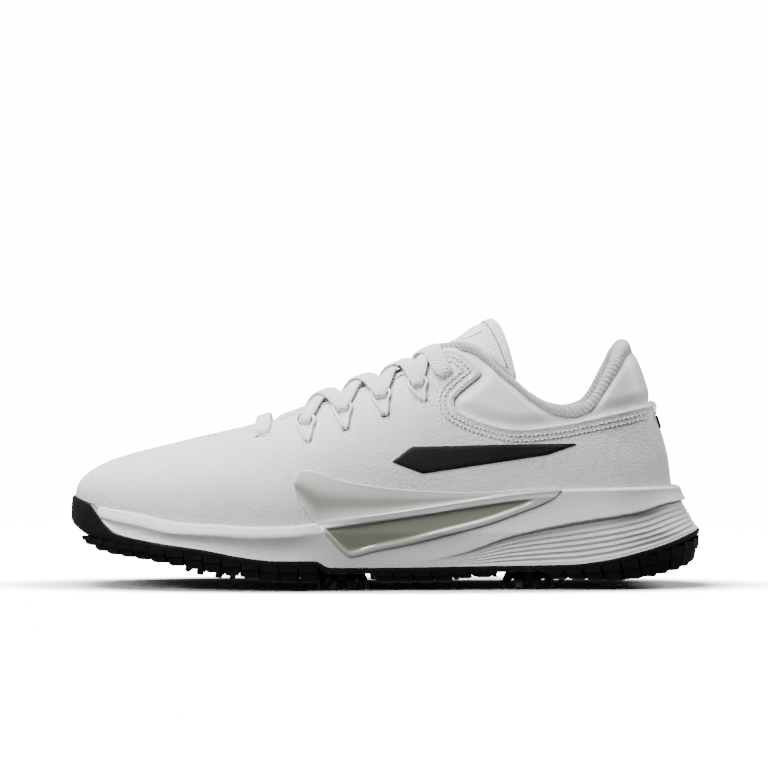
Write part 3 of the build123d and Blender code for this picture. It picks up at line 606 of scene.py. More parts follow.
def thread(name="thread", colour=(0.86, 0.86, 0.865)):
    f = Finish(name, colour, 0.6, Sheen_Weight=0.2)
    twist = f.noise(1500, 2, 0.5, f.scaled(1, 1, 3))
    f.shade(tuple(c * 0.85 for c in colour), colour, twist)
    return f.bump(twist, 0.3, 0.0001)


def foam_sole():
    f = Finish("moulded_foam", (0.68, 0.685, 0.69), 0.5, Specular_IOR_Level=0.4)
    grit = f.noise(1500, 3, 0.6)
    cell = f.cells(760, warped(f, 0.0014, 300), "DISTANCE_TO_EDGE").fade(0.0, 0.25)
    broad = f.noise(45, 3)
    f.shade((0.62, 0.625, 0.635), (0.70, 0.703, 0.708), broad * 0.5 + cell * 0.5)
    f.set("Roughness", 0.42 + grit * 0.16)
    return f.bump(grit * 0.4 + cell * 0.7, 0.5, 0.0002)


def black_rubber():
    f = Finish("black_outsole", (0.005, 0.005, 0.006), 0.28, Specular_IOR_Level=0.4)
    scuff = f.noise(230, 5, 0.6)
    f.shade((0.003, 0.003, 0.004), (0.010, 0.0105, 0.012), scuff)
    f.set("Roughness", 0.14 + scuff * 0.24)
    return f.bump(f.noise(900, 3), 0.12, 0.0002)


def spike_plastic(name, colour, roughness):
    f = Finish(name, colour, roughness)
    speck = f.noise(700, 4)
    f.shade(tuple(c * 0.7 for c in colour), tuple(c * 1.5 for c in colour), speck)
    f.set("Roughness", roughness - 0.08 + speck * 0.16)
    return f.bump(speck, 0.15, 0.0002)


def black_film():
    f = Finish("black_overlay", (0.006, 0.0065, 0.008), 0.5, Specular_IOR_Level=0.22)
    grain = f.cells(750, warped(f, 0.0015, 300), "DISTANCE_TO_EDGE").fade(0.0, 0.2)
    f.shade((0.004, 0.0045, 0.006), (0.009, 0.0095, 0.011), grain)
    f.set("Roughness", 0.55 - grain * 0.1)
    return f.bump(grain, 0.25, 0.00015)


def smoky_clip():
    f = Finish("smoky_clip", (0.42, 0.41, 0.36), 0.16, Specular_IOR_Level=0.55, Coat_Roughness=0.08)
    # The depth mark is partly a painted highlight: the clip is lighter along the ledge, lighter near its top
    # edge, and darker across the middle of the wing and in the sunk window.
    tone_and_highlight = f.attribute("depth")
    haze = f.noise(35, 4)
    f.shade((0.62, 0.625, 0.62), (0.20, 0.20, 0.165), (tone_and_highlight + haze * 0.25 - 0.12).fade(0.0, 0.95))
    f.set("Coat Weight", 0.5)
    f.set("Roughness", 0.24 + haze * 0.12)
    return f.bump(f.noise(300, 3), 0.05, 0.0002)


def plain_textile(name, colour, scale=1100):
    f = Finish(name, colour, 0.85)
    warp = (f.node("SeparateXYZ", Vector=f.place) * scale).sine()
    weft = (f.node("SeparateXYZ", output=1, Vector=f.place) * scale).sine()
    f.shade(tuple(c * 0.8 for c in colour), colour, (warp * weft) * 0.5 + 0.5)
    return f.bump(warp * weft, 0.4, 0.0003)


LEATHER = tumbled_leather()
PANEL = smooth_leather()
KNIT = knit_lining()
LACE = woven_lace()
THREAD = thread()
FOAM = foam_sole()
RUBBER = black_rubber()
OVERLAY = black_film()
CLIP = smoky_clip()
# Near black: painted shade inside the loop holes, the lace slot and the toe perforations.
HOLE_SHADE = spike_plastic("punched_hole_shade", (0.03, 0.03, 0.032), 0.8)
HUB = spike_plastic("spike_hub_plastic", (0.022, 0.022, 0.026), 0.3)
LEGS = spike_plastic("spike_leg_plastic", (0.012, 0.012, 0.014), 0.35)
SOCK = plain_textile("sock_cloth", (0.55, 0.56, 0.57))
BOARD = plain_textile("board_felt", (0.60, 0.58, 0.54), 700)
SHADOW = spike_plastic("stitch_shadow", (0.22, 0.22, 0.23), 0.9)
DARK_THREAD = thread("dark_thread", (0.05, 0.05, 0.055))
CORD = thread("loop_cord_thread", (0.80, 0.805, 0.81))
PLASTIC = spike_plastic("shank_plastic", (0.05, 0.05, 0.05), 0.4)


def floor_material():
    """Pale floor that glows white away from the shoe and takes its shadow near it; the glow fades out round
    the footprint, which paints a soft shade there on top of the lamps' shadow.
    """
    f = Finish("pale_floor", (0.9, 0.9, 0.9), 0.7, Emission_Strength=14.0)
    f.shade((0.86, 0.86, 0.862), (0.9, 0.9, 0.902), f.noise(3, 2))
    x = f.node("SeparateXYZ", Vector=f.place)
    y = f.node("SeparateXYZ", output=1, Vector=f.place)
    reach = ((x / 0.158) * (x / 0.158) + (y / 0.058) * (y / 0.058)) ** 0.5
    # Painted shade: no glow inside the ellipse round the shoe, fading in to full white beyond it.
    glow = reach.fade(0.9, 1.4) ** 1.6
    f.set("Emission Color", f.mix((0, 0, 0), (1, 1, 1), glow))
    return f.material


def make_stage():
    width, rise, bend = 3.2, 2.4, 0.6
    line = [(-2.4 + 3.3 * k / 24, 0.0) for k in range(25)]
    for k in range(1, 13):
        angle = math.pi / 2 * k / 12
        line.append((0.9 + bend * math.sin(angle), bend * (1 - math.cos(angle))))
    line.append((0.9 + bend, rise))
    points = [(x / MM, y / MM, z / MM) for x in np.linspace(-width, width, 33) for y, z in line]
    faces = grid_faces(33, len(line))
    floor = new_object("floor", points, faces, floor_material(), 60, None)
    floor.visible_diffuse = floor.visible_glossy = False
    world = bpy.data.worlds.new("studio")
    world.use_nodes = True
    world.node_tree.nodes["Background"].inputs["Color"].default_value = (0.97, 0.985, 1, 1)
    world.node_tree.nodes["Background"].inputs["Strength"].default_value = 0.11
    bpy.context.scene.world = world
    add_light("top_softbox", (-0.35, 0.0, 1.3), (-0.06, 0, 0.05), (1.3, 0.8), 60)
    add_light("front_softbox", (-1.1, -1.2, 1.05), (-0.08, 0, 0.06), (0.9, 0.7), 29)
    add_light("heel_softbox", (1.4, 0.4, 0.9), (0.1, 0, 0.08), (0.5, 0.7), 24)


make_stage()

# ---------------------------------------------------------------- leather of the upper
TOE_U, TOE_COLUMNS = UPPER_TOE_X + 0.02, 130
THROAT_TIP, INSIDE_DROP, LEATHER_THICK = -58.4, 4.0, 1.5
# Columns of the leather towards the collar: foot station, neck (x, z) and top edge (x, z).
SWEEP = [(20, 20.5, 95.0, 20.5, 110.2), (22, 22.5, 94.5, 25.5, 113.0), (24, 24.5, 93.5, 32.1, 113.7),
         (25.5, 26.0, 92.7, 38.7, 110.7), (27, 27.4, 91.8, 44.4, 105.0), (28.5, 28.8, 90.9, 45.3, 101.0),
         (30, 30.2, 89.7, 39.6, 96.0), (31.5, 31.6, 88.2, 33.8, 90.8), (33.5, 32.4, 86.0, 33.0, 87.8),
         (36, 34.6, 82.0, 34.9, 84.7), (46, 46.5, 74.0, 48.1, 79.0), (60, 60.5, 70.0, 62.3, 76.2),
         (77, 76.5, 70.0, 77.4, 77.4), (88, 88.0, 72.0, 88.7, 79.2), (106, 106.5, 75.0, 107.6, 83.3),
         (123, 124.0, 79.0, 126.5, 87.4), (145, 127.5, 79.0, 128.6, 87.6)]
EDGE = [Vector((p.x, p.y)) for p in smooth_path([(x, z, 0) for *_, x, z in SWEEP[:-1]], 1.0)]
ANCHORS = [(-36.0, 69.5), (-18.5, 75.5), (0.5, 82.0), (18.4, 88.5)]


def toe_strip_width(u):
    return TOE_STRIP * rounded_end(TOE_ROUND_X - u, TOE_ROUND_X - UPPER_TOE_X)


def leather_columns(side):
    """Foot, neck and top of each column of the side of the leather, from the toe to the back of the heel."""
    foot, neck, top = [], [], []
    inside = lambda x: FEATHER(x) - INSIDE_DROP

    def straight(u, width):
        high = height_at_width(side, u, width)
        low, reach = climb_angle(u, inside(u)), climb_angle(u, high)
        foot.append((u, inside(u)))
        neck.append((u, climb_height(u, low + (reach - low) * 0.82)))
        top.append((u, high))

    for t in (k / (TOE_COLUMNS - 1) for k in range(TOE_COLUMNS)):
        u = TOE_U + (THROAT_TIP - TOE_U) * (t * 0.35 + 0.65 * t * t)
        straight(u, toe_strip_width(u))
    for k in range(1, 90):
        u = THROAT_TIP + (20 - THROAT_TIP) * k / 89
        straight(u, THROAT(u))
    last_neck, last_top = neck[-1][1], top[-1][1]
    knots = [Vector(k) for k in SWEEP]
    for i, p in enumerate(catmull(knots, 130)[1:]):
        u, nx, nz, x, z = p
        fresh = min(1.0, (i + 1) / 12)
        u = min(u, HEEL_U)
        ended = u >= HEEL_U - 0.01
        foot.append((u, inside(min(u, 120))))
        neck.append((HEEL_U if ended else min(HEEL_U, station(nx, nz)), nz + (last_neck - 95.0) * (1 - fresh)))
        top.append((HEEL_U if ended else min(HEEL_U, station(x, z)), z + (last_top - 110.2) * (1 - fresh)))
    return foot, neck, top


def catmull(knots, count):
    """Points along a smooth path through knots of any number of values."""
    result = []
    for i in range(count):
        s = (len(knots) - 1) * i / (count - 1)
        k = min(int(s), len(knots) - 2)
        result.append(spline(knots, k, s - k))
    return result


def leather_grid(side, low_shares, high_shares):
    foot, neck, top = leather_columns(side)
    below = grid_between(side, foot, neck, low_shares)
    above = grid_between(side, neck, top, high_shares)
    return np.concatenate([below, above[:, 1:]], axis=1)


def edge_distance(x, z):
    """How far a point of the side view is outside the leather's edge towards the collar; negative on it."""
    if x > 114:
        return z - min(87.6, 84.9 + (x - 114) * 0.2)
    best, sign = 1e9, 1.0
    for a, b in zip(EDGE[::2], EDGE[2::2]):
        ab = b - a
        p = Vector((x, z)) - a
        t = min(1.0, max(0.0, p.dot(ab) / ab.length_squared))
        d = (p - ab * t).length
        if d < best:
            best = d
            sign = 1.0 if ab.x * p.y - ab.y * p.x > 0 else -1.0
    return best * sign


def relief(x, y, z):
    """Gentle unevenness of the stretched leather, in millimetres."""
    wave = math.sin(x * 0.11 + z * 0.07) * math.sin(z * 0.13 - x * 0.05 + y * 0.06)
    flex = math.exp(-((x + 42) / 20) ** 2) * math.sin(x * 0.42 + z * 0.25 + y * 0.02)
    dimple = sum(-0.5 * math.exp(-(((x - px) ** 2 + (z - pz) ** 2) / 7)) for px, pz in ANCHORS)
    return 0.22 * wave + 0.14 * flex + dimple


def make_leather():
    high_shares = 1 - (1 - np.linspace(0, 1, 40)) ** 1.25
    lots = []
    for side in (-1, 1):
        foot = leather_columns(side)[0]
        grid = leather_grid(side, np.linspace(0, 1, 34), high_shares)
        lift = np.zeros(grid.shape[:2])
        for i in range(grid.shape[0]):
            edge = grid[i, -1]
            free = foot[i][0] > -56
            for j in range(grid.shape[1]):
                x, y, z = grid[i, j]
                near = np.linalg.norm(grid[i, j] - edge)
                lift[i, j] = relief(x, y, z)
                if foot[i][0] > 15:
                    near = max(0.0, -edge_distance(x, z)) if near < 14 else near
                    lift[i, j] += 0.55 * math.exp(-((near - 1.5) / 1.0) ** 2)
                    lift[i, j] -= 0.22 * math.exp(-((near - 4.3) / 0.7) ** 2) + 0.22 * math.exp(
                        -((near - 6.6) / 0.7) ** 2)
                elif free:
                    lift[i, j] += 0.22 * math.exp(-((near - 1.0) / 1.0) ** 2)
        lots.append(pushed(grid, lift))
    # Strip over the toe between the two sides.
    left, right = (grid[:TOE_COLUMNS, -1] for grid in lots)
    foot = leather_columns(-1)[0]
    strip = []
    across = 13
    for i in range(TOE_COLUMNS):
        u = foot[i][0]
        row = [tuple(left[i])]
        width = toe_strip_width(u)
        for k in range(1, across - 1):
            w = width * (2 * k / (across - 1) - 1)
            side = -1 if w < 0 else 1
            z = height_at_width(side, u, abs(w)) if abs(w) > 1e-6 else CROWN(u)
            y = MIDLINE(u) + w
            row.append((u, y, z + relief(u, y, z) * 0.9))
        row.append(tuple(right[i]))
        strip.append(row)
    strip = np.array(strip)
    points, faces = [], []
    for grid in (lots[0], lots[1], strip):
        base = len(points)
        points += [tuple(p) for p in grid.reshape(-1, 3)]
        faces += grid_faces(grid.shape[0], grid.shape[1], base)
    obj = new_object("leather_upper", points, faces, LEATHER, 50, None)
    solid = obj.modifiers.new("thickness", "SOLIDIFY")
    solid.thickness, solid.offset, solid.use_rim = LEATHER_THICK * MM, -1, True
    apply_modifiers(obj)
    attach(obj, SHOE)
    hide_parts("vamp", "quarter_lateral", "quarter_medial", "heel_strip")


def apply_modifiers(obj, smooth=50):
    bpy.context.view_layer.update()
    evaluated = obj.evaluated_get(bpy.context.evaluated_depsgraph_get())
    mesh = bpy.data.meshes.new_from_object(evaluated)
    materials = list(obj.data.materials)
    obj.modifiers.clear()
    old = obj.data
    obj.data = mesh
    bpy.data.meshes.remove(old)
    if not mesh.materials and materials:
        mesh.materials.append(materials[0])
    tidy_mesh(mesh, smooth)


make_leather()


# ---------------------------------------------------------------- collar
def around_heel(front, count):
    """Stations (side, u) from the lateral side round the heel to the medial side."""
    half = [(-1, front + (HEEL_U - front) * k / (count - 1)) for k in range(count)]
    return half + [(1, u) for _, u in reversed(half[:-1])]


def height_on(side, u, line):
    z = line(min(u, ANKLE_X + 20))
    for _ in range(14):
        z = 0.5 * z + 0.5 * line(body_point(side, u, z).x)
    return z


PANEL_FOOT = Curve((20, 96), (28, 84), (36, 76), (50, 72), (62, 70), (90, 72), (125, 80), (140, 81))


def make_collar_panel():
    shares = np.linspace(0, 1, 34)
    rows = []
    for side, u in around_heel(23.5, 150):
        low, high = height_on(side, u, PANEL_FOOT), height_on(side, u, RIM)
        rows.append(grid_between(side, [(u, low)], [(u, high)], shares)[0])
    grid = np.array(rows)
    depth = np.zeros(grid.shape[:2])
    for i in range(grid.shape[0]):
        for j in range(grid.shape[1]):
            x, _, z = grid[i, j]
            d = edge_distance(x, z)
            rim = np.linalg.norm(grid[i, j] - grid[i, -1])
            puff = 1.7 * smoothstep(-1.0, 7.0, d)
            depth[i, j] = -1.45 + puff - 1.0 * (1 - smoothstep(0.0, 6.0, rim)) * min(1.0, puff)
    outer = pushed(grid, depth)
    inner = pushed(grid, depth - 1.3)
    obj = slab("collar_panel_skin", outer, inner, PANEL, 0.6)
    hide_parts("collar_panel")


def make_collar_lining():
    """Padded lining: a ribbed roll over the rim, then down the inside to the sock."""
    stations = around_heel(24.0, 170)
    outer = []
    for side, u in stations:
        high = height_on(side, u, RIM)
        roll = 1.9 + 1.5 * smoothstep(60, 92, u)
        thick = 6.0 + 3.6 * smoothstep(60, 105, u)
        path = [(1.3, -1.5), (1.6, 0.6), (3.0, roll - 0.4), (5.0, roll), (6.6 + 0.1 * thick, roll - 1.4),
                (thick, -5.0), (thick + 0.9, -13.0), (thick - 1.5, -26.0), (5.4, -40.0), (4.6, 36.0 - high)]
        if path[-2][1] < path[-1][1] + 4:
            path[-2] = (5.0, (path[-3][1] + path[-1][1]) / 2)
        if path[-3][1] < path[-1][1] + 8:
            path = path[:-3] + path[-2:]
        curve = smooth_path([(d, dz, 0) for d, dz in path], 0.5)
        row = []
        for t in np.linspace(0, 1, 44):
            p = curve[min(len(curve) - 1, int(round(t**1.5 * (len(curve) - 1))))]
            z = high + p.y
            base = body_point(side, u, min(z, high - 0.5))
            level = Vector((base.x - min(95, max(-110, base.x)), base.y - MIDLINE(base.x), 0)).normalized()
            row.append(tuple(Vector((base.x, base.y, z)) - level * p.x))
        outer.append(row)
    outer = np.array(outer)
    along = travel(outer, 0)[:, 8:9]
    normals = grid_normals(outer, 1.0)
    # Ribs that lean along the roll.
    arc = travel(outer, 1)
    ribs = np.sin((along + arc * 0.7) * 2 * math.pi / 2.3)
    fade = np.clip((26 - arc) / 14, 0, 1)
    sign = -1.0 if np.dot(normals[5, 12], outer[5, 12] - outer[5, 40]) < 0 else 1.0
    top = outer + normals * sign * (ribs * fade * 0.22)[..., None]
    under = outer - normals * sign * 0.9
    obj = slab("collar_lining_knit", top, under, KNIT, 0.5, 60)
    mark_values(obj, top, {"along": along + arc * 0, "across": arc})
    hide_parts("collar_lining", "collar_foam")


def mark_values(obj, grid, values):
    """Stores values, given on a grid of points, on the nearest points of a mesh."""
    flat = grid.reshape(-1, 3)
    tree = KDTree(len(flat))
    for k, p in enumerate(flat):
        tree.insert(Vector(p) * MM, k)
    tree.balance()
    nearest = [tree.find(vertex.co)[1] for vertex in obj.data.vertices]
    for key, table in values.items():
        table = np.asarray(table, float).reshape(-1)
        layer = obj.data.attributes.new(key, "FLOAT", "POINT")
        layer.data.foreach_set("value", [float(table[k]) for k in nearest])


make_collar_panel()
make_collar_lining()


# ---------------------------------------------------------------- sole


def drawn_in(z):
    return min(1.0, max(0.0, (z - WIDE_Z) / (LEDGE_Z - WIDE_Z)))


def sole_outline(z_of, spread_of, count=200):
    """Perimeter of the sole from the toe along the lateral side to the heel and back; spread in mm outward."""
    ring = []
    along = [(1 - math.cos(math.pi * i / (count - 1))) / 2 for i in range(count)]
    for side in (-1, 1):
        for t in (along[:-1] if side < 0 else along[:0:-1]):
            nominal = TOE_X + (HEEL_X - TOE_X) * t
            z = z_of(nominal)
            drawn = drawn_in(z)
            spread = spread_of(nominal, z, side)
            toe = TOE_X + 1.5 * drawn - spread
            heel = HEEL_X - 10.5 * drawn + spread
            x = toe + (heel - toe) * t
            ends = rounded_end(TOE_ROUND_X - x, TOE_ROUND_X - toe)
            ends *= rounded_end(x - SOLE_HEEL_ROUND_X, heel - SOLE_HEEL_ROUND_X)
            curve = SOLE_LATERAL if side < 0 else SOLE_MEDIAL
            ring.append((x, MIDLINE(x) + side * (curve(x) - LEDGE_DRAW * drawn + spread) * ends, z))
    return ring


def wall_relief(x, z, side):
    """How far the midsole's wall stands out from its plain block, in millimetres."""
    top, bottom = FEATHER(x) + 0.3, SPLIT(x)
    fore = 1 - smoothstep(-48, -20, x)
    drop = top - z
    out = -fore * 1.6 * (1 - smoothstep(0, 5.0, drop)) - fore * 1.1 * math.sin(
        math.pi * min(1, max(0, (drop - 5.2) / max(1.0, top - 5.2 - bottom))))
    rear = smoothstep(-20, 30, x)
    crease = FLARE_TOP(x)
    strength = smoothstep(15, 100, x)
    if z < crease:
        share = min(1.0, (crease - z) / max(0.5, crease - bottom))
        dip = -2.4 * smoothstep(0.0, 0.1, share) * (1 - share) ** 0.8
        groove = -0.55 * (0.5 - 0.5 * math.cos(2 * math.pi * 7.5 * share)) * smoothstep(0.02, 0.08, share)
        out += strength * dip + groove * smoothstep(18, 60, x) * (1 - smoothstep(0.93, 1.0, share))
    else:
        wall = (z - crease) / max(1.0, top - crease)
        out -= rear * 0.7 * math.sin(math.pi * min(1, wall)) * (1 - 0.4 * strength)
    if side < 0 and -33 < x < 82:
        out -= 2.0 * smoothstep(0.4, 1.4, z - CLIP_FOOT(x))
    return out


def capped_rings(name, rings, material, across=10, smooth=32):
    """A closed body from stacked perimeter rings that all run toe, lateral, heel, medial."""
    points = [p for ring in rings for p in ring]
    n = len(rings[0])
    faces = ring_faces(len(rings), n)
    half = n // 2
    for r in (0, len(rings) - 1):
        rows = []
        for i in range(1, half):
            a, b = Vector(rings[r][i]), Vector(rings[r][n - i])
            row = [r * n + i]
            for k in range(1, across):
                points.append(tuple(a.lerp(b, k / across)))
                row.append(len(points) - 1)
            row.append(r * n + n - i)
            rows.append(row)
        for one, two in zip(rows, rows[1:]):
            for k in range(across):
                faces.append((one[k], two[k], two[k + 1], one[k + 1]))
        faces.append(tuple([r * n] + rows[0]))
        faces.append(tuple([r * n + half] + rows[-1][::-1]))
    return new_object(name, points, faces, material, smooth)


CLIP_TOP = Curve((-42, 50.2), (-40.5, 54), (-38, 55.8), (-35.6, 55.8), (-22.6, 51.9), (-5.4, 48.5),
                 (11.9, 46.6), (37.7, 45.4), (55, 45.9), (72.2, 47.2), (83, 47.6))
CLIP_FOOT = Curve((-42, 50.2), (-41.6, 46.8), (-37.3, 39), (-31.2, 31.2), (-27, 26.5), (-18.3, 17.4),
                  (-15.7, 15.9), (-5.4, 18.3), (11.9, 21.8), (29.1, 26.1), (46.4, 30.4), (63.6, 36.4),
                  (79.1, 42.9), (83, 46.5))


def make_midsole():
    rings = [sole_outline(lambda x: FEATHER(x) + 0.25, lambda x, z, side, d=shift: d, 280)
             for shift in (-5.2, -3.4)]
    for t in np.linspace(0, 1, 84):
        t = float(t)

        def level(x, t=t):
            top, bottom = FEATHER(x) + 0.3, SPLIT(x)
            return top + (bottom - top) * (t * 0.55 + 0.45 * (3 * t * t - 2 * t**3)) if bottom < top else top

        def spread(x, z, side, t=t):
            round_over = -1.3 * (1 - min(1.0, max(0.0, (FEATHER(x) + 0.3 - z) / 1.3))) ** 2
            hide = -3.0 * (1 - smoothstep(-141, -136, x))
            return wall_relief(x, z, side) + round_over + hide

        rings.append(sole_outline(level, spread, 280))
    obj = capped_rings("midsole_foam", rings, FOAM)
    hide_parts("midsole")


def bumper_top(x):
    if x > -139.5:
        return SPLIT(x) - 0.05
    return 39.5 + (-139.5 - x) / 11.5 * 3.6


def make_outsole():
    rings = [sole_outline(bumper_top, lambda x, z, s: -3.6, 180)]
    profile = ((0.0, -0.9), (0.02, -0.2), (0.08, 0.25), (0.3, 0.4), (0.6, 0.35), (0.85, 0.15), (1.0, -0.8))
    for t, out in profile:
        rings.append(sole_outline(lambda x, t=t: bumper_top(x) + (WEB(x) - bumper_top(x)) * t,
                                  lambda x, z, s, o=out: o, 180))
    obj = capped_rings("outsole_plate", rings, RUBBER, 14, 40)
    make_lugs()
    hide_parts("outsole")


SPIKES = [(-82.0, -27.0), (-88.0, 27.0), (-19.5, -30.0), (-27.0, 27.0), (68.0, -23.0), (76.0, 21.0),
          (118.0, 0.0)]


def rim_lug_outlines():
    ring = [Vector((x, y)) for x, y, _ in sole_outline(lambda x: 10.0, lambda x, z, s: -0.1, 160)]
    ring.append(ring[0])
    lengths = [(b - a).length for a, b in zip(ring, ring[1:])]
    total, count = sum(lengths), 80
    pitch = total / count

    def at(distance):
        for a, b, length in zip(ring, ring[1:], lengths):
            if distance <= length:
                return a.lerp(b, distance / length), (b - a).normalized()
            distance -= length
        return ring[0], (ring[1] - ring[0]).normalized()

    lugs = []
    for k in range(count):
        p, t = at(pitch * (k + 0.5))
        if p.x < -143:
            continue
        n = Vector((-t.y, t.x))
        slant = 3.0 if -15 < p.x < 120 else 0.0
        lean = slant * (1 if p.y < 0 else -1)
        wide = (pitch - 0.9) / 2
        narrow = wide * (0.72 if -115 < p.x < 120 else 0.5)
        depth = 11.0
        lugs.append([p - t * wide, p + t * wide, p + t * (narrow + lean) + n * depth,
                     p - t * (narrow - lean) + n * depth])
        p, t = at(pitch * (k + 1))
        if abs(p.x) < 128:
            n = Vector((-t.y, t.x))
            lean = 0.65 * slant * (1 if p.y < 0 else -1)
            lugs.append([p + t * (lean - 1.5) + n * 5.6, p + t * (lean + 1.5) + n * 5.6,
                         p + t * (lean + 1.5) + n * 9.4, p + t * (lean - 1.5) + n * 9.4])
    return lugs


def clear_of_spikes(points, room=14.0):
    centre = sum(points, Vector((0, 0))) / len(points)
    spots = [*points, centre, *[(a + b) / 2 for a, b in zip(points, points[1:])]]
    return all((p - Vector(s)).length > room for p in spots for s in SPIKES)


def field_lug_outlines():
    lugs = []
    for row in range(24):
        x = -122 + row * 10.8
        for column in range(-4, 5):
            y = column * 11.0 + (5.5 if row % 2 else 0) + MIDLINE(x)
            rounding = rounded_end(TOE_ROUND_X - x, 60)
            margin = 19.5 + (7 if x > 96 else 0)
            low = MIDLINE(x) - SOLE_LATERAL(x) * rounding + margin
            high = MIDLINE(x) + SOLE_MEDIAL(x) * rounding - margin
            if low < y < high:
                shape = [(-3.6, 0), (-0.4, -3.9), (3.4, -3.0), (1.6, 0), (3.4, 3.0), (-0.4, 3.9)]
                lugs.append([Vector((x + a, y + b)) for a, b in shape])
    return lugs


def make_lugs():
    lots = []
    for kind, outlines in (("rim", rim_lug_outlines()), ("field", field_lug_outlines())):
        for points in outlines:
            if not clear_of_spikes(points):
                continue
            centre = sum(points, Vector((0, 0))) / len(points)
            x, n = centre.x, len(points)
            low, high = LUG_TIPS(x), WEB(x) + 1.0
            edge = (points[1] - points[0]).normalized()
            inward = Vector((-edge.y, edge.x))
            sweep = edge * (2.6 if -20 < x < 125 else 0.5) * (1 if centre.y < 0 else -1)
            rim = kind == "rim"
            tall = high - low
            levels = [(high, 1.06, 0.0, 0.0), (high - 0.42 * tall, 1.0, 0.35, 0.0),
                      (high - 0.46 * tall, 0.95, 0.4, 0.7), (low + 0.16 * tall, 0.86, 0.85, 0.9),
                      (low + 0.3, 0.76, 1.0, 1.5), (low, 0.66, 1.0, 2.0)]
            if not rim:
                heights = ((high, 1.06), (low + 1.0, 0.97), (low + 0.25, 0.90), (low, 0.80))
                levels = [(z, scale, 0, 0) for z, scale in heights]
            verts = []
            for z, scale, swept, drawn in levels:
                for k, p in enumerate(points):
                    q = centre + (p - centre) * scale
                    if rim:
                        q += sweep * swept + (inward * drawn if k < 2 else Vector((0, 0)))
                    verts.append((q.x, q.y, z))
            faces = ring_faces(len(levels), n)
            faces.append(tuple(range(n)))
            faces.append(tuple((len(levels) - 1) * n + k for k in range(n))[::-1])
            lots.append((verts, faces))
    obj = gathered("outsole_lugs", lots, RUBBER, 35)


make_midsole()
make_outsole()


# ---------------------------------------------------------------- side clip


def clip_wall(x, z):
    return -(SOLE_LATERAL(x) - LEDGE_DRAW * drawn_in(z)) - 0.25


def make_side_clip():
    lower = np.linspace(0, 1, 22)
    upper = np.linspace(0, 1, 24)[1:]
    rows, depth = [], []
    for x in -42 + 125 * np.linspace(0, 1, 170):
        x = float(min(82.9, max(-41.98, x)))
        foot, top = CLIP_FOOT(x), CLIP_TOP(x)
        ledge = max(FEATHER(x) + 0.2, foot + 0.02 * (top - foot))
        ledge = min(ledge, top - 0.05)
        on_sole, flared = smoothstep(-34, -29, x), smoothstep(-40, -12, x)
        leather = body_point(-1, x, ledge).y - 0.9
        shelf = leather + (min(clip_wall(x, ledge), leather) - leather) * flared
        row, marks = [], []
        for t in lower:
            z = foot + (ledge - foot) * t
            plain = body_point(-1, x, z).y - 0.9
            share = flared + (on_sole - flared) * smoothstep(0, 5, ledge - z)
            y = plain + (min(clip_wall(x, z), plain) - plain) * share
            room = min((z - foot) * 0.93 - 1.2, ledge - z - 2.0) if ledge - foot > 1 else 0.0
            sunk = smoothstep(0.6, 1.9, room) * smoothstep(-31, -26, x) * (1 - smoothstep(64, 72, x))
            y += 1.25 * sunk - 0.35 * math.exp(-((ledge - z) / 0.9) ** 2) * flared
            row.append((x, y, z))
            # Light in the band just under the ledge (painted highlight), darker lower down and in the sunk
            # window.
            marks.append(0.04 + 0.5 * smoothstep(1.6, 3.4, ledge - z) + 0.4 * sunk)
        for t in upper:
            z = ledge + (top - ledge) * t
            flare = (1 - t) ** 2.2
            plain = body_point(-1, x, z).y - 0.55
            y = plain + (shelf - 0.35 * flared - leather) * flare
            row.append((x, y, z))
            # Light at the ledge (painted highlight) and near the top edge, darkest across the middle of the
            # wing.
            marks.append(0.08 + 0.62 * math.exp(-((t - 0.42) / 0.28) ** 2))
        rows.append(row)
        depth.append(marks)
    outer = np.array(rows)
    inner = outer + np.array([0.0, 1.15, 0.0])
    obj = slab("side_clip_shell", outer, inner, CLIP, 0.7, 46)
    mark_values(obj, outer, {"depth": np.array(depth)})
    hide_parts("side_clip")


# ---------------------------------------------------------------- overlays, thread and holes
ACCENT_TOP = [(4.0, 60.2), (13.0, 67.0), (62.0, 68.0), (90.0, 68.4)]
ACCENT_FOOT = [(4.0, 59.8), (18.0, 54.6), (77.0, 63.4), (90.0, 68.0)]


def broken_line(points, x):
    for (x0, z0), (x1, z1) in zip(points, points[1:]):
        if x <= x1:
            return z0 + (z1 - z0) * (x - x0) / (x1 - x0)
    return points[-1][1]


def make_side_accents():
    for side, name in ((-1, "lateral"), (1, "medial")):
        rows = []
        for x in np.linspace(4.0, 90.0, 130):
            low = sum(broken_line(ACCENT_FOOT, x + d) for d in (-0.8, 0, 0.8)) / 3
            high = sum(broken_line(ACCENT_TOP, x + d) for d in (-0.8, 0, 0.8)) / 3
            low, high = min(low, high - 0.15), max(high, low + 0.15)
            rows.append([tuple(skin(side, x, low + (high - low) * t)[0]) for t in np.linspace(0, 1, 16)])
        grid = np.array(rows)
        raised = np.zeros(grid.shape[:2])
        for i in range(grid.shape[0]):
            for j in range(grid.shape[1]):
                rim = min(np.linalg.norm(grid[i, j] - grid[i, 0]), np.linalg.norm(grid[i, j] - grid[i, -1]))
                x, y, z = grid[i, j]
                raised[i, j] = 0.42 + 0.22 * smoothstep(0.2, 1.3, rim) + relief(x, y, z)
        obj = slab("side_accent_" + name + "_film", pushed(grid, raised), pushed(grid, raised - 0.62),
                   OVERLAY, 0.5)
        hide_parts("side_accent_" + name)


def make_heel_tab():
    rows = []
    for side, u in around_heel(142.8, 9):
        rows.append([tuple(body_point(side, u, z)) for z in np.linspace(75.4, 81.2, 12)])
    grid = np.array(rows)
    obj = slab("heel_tab", pushed(grid, 0.5), pushed(grid, -0.1), OVERLAY, 0.7)
    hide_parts("heel_badge")


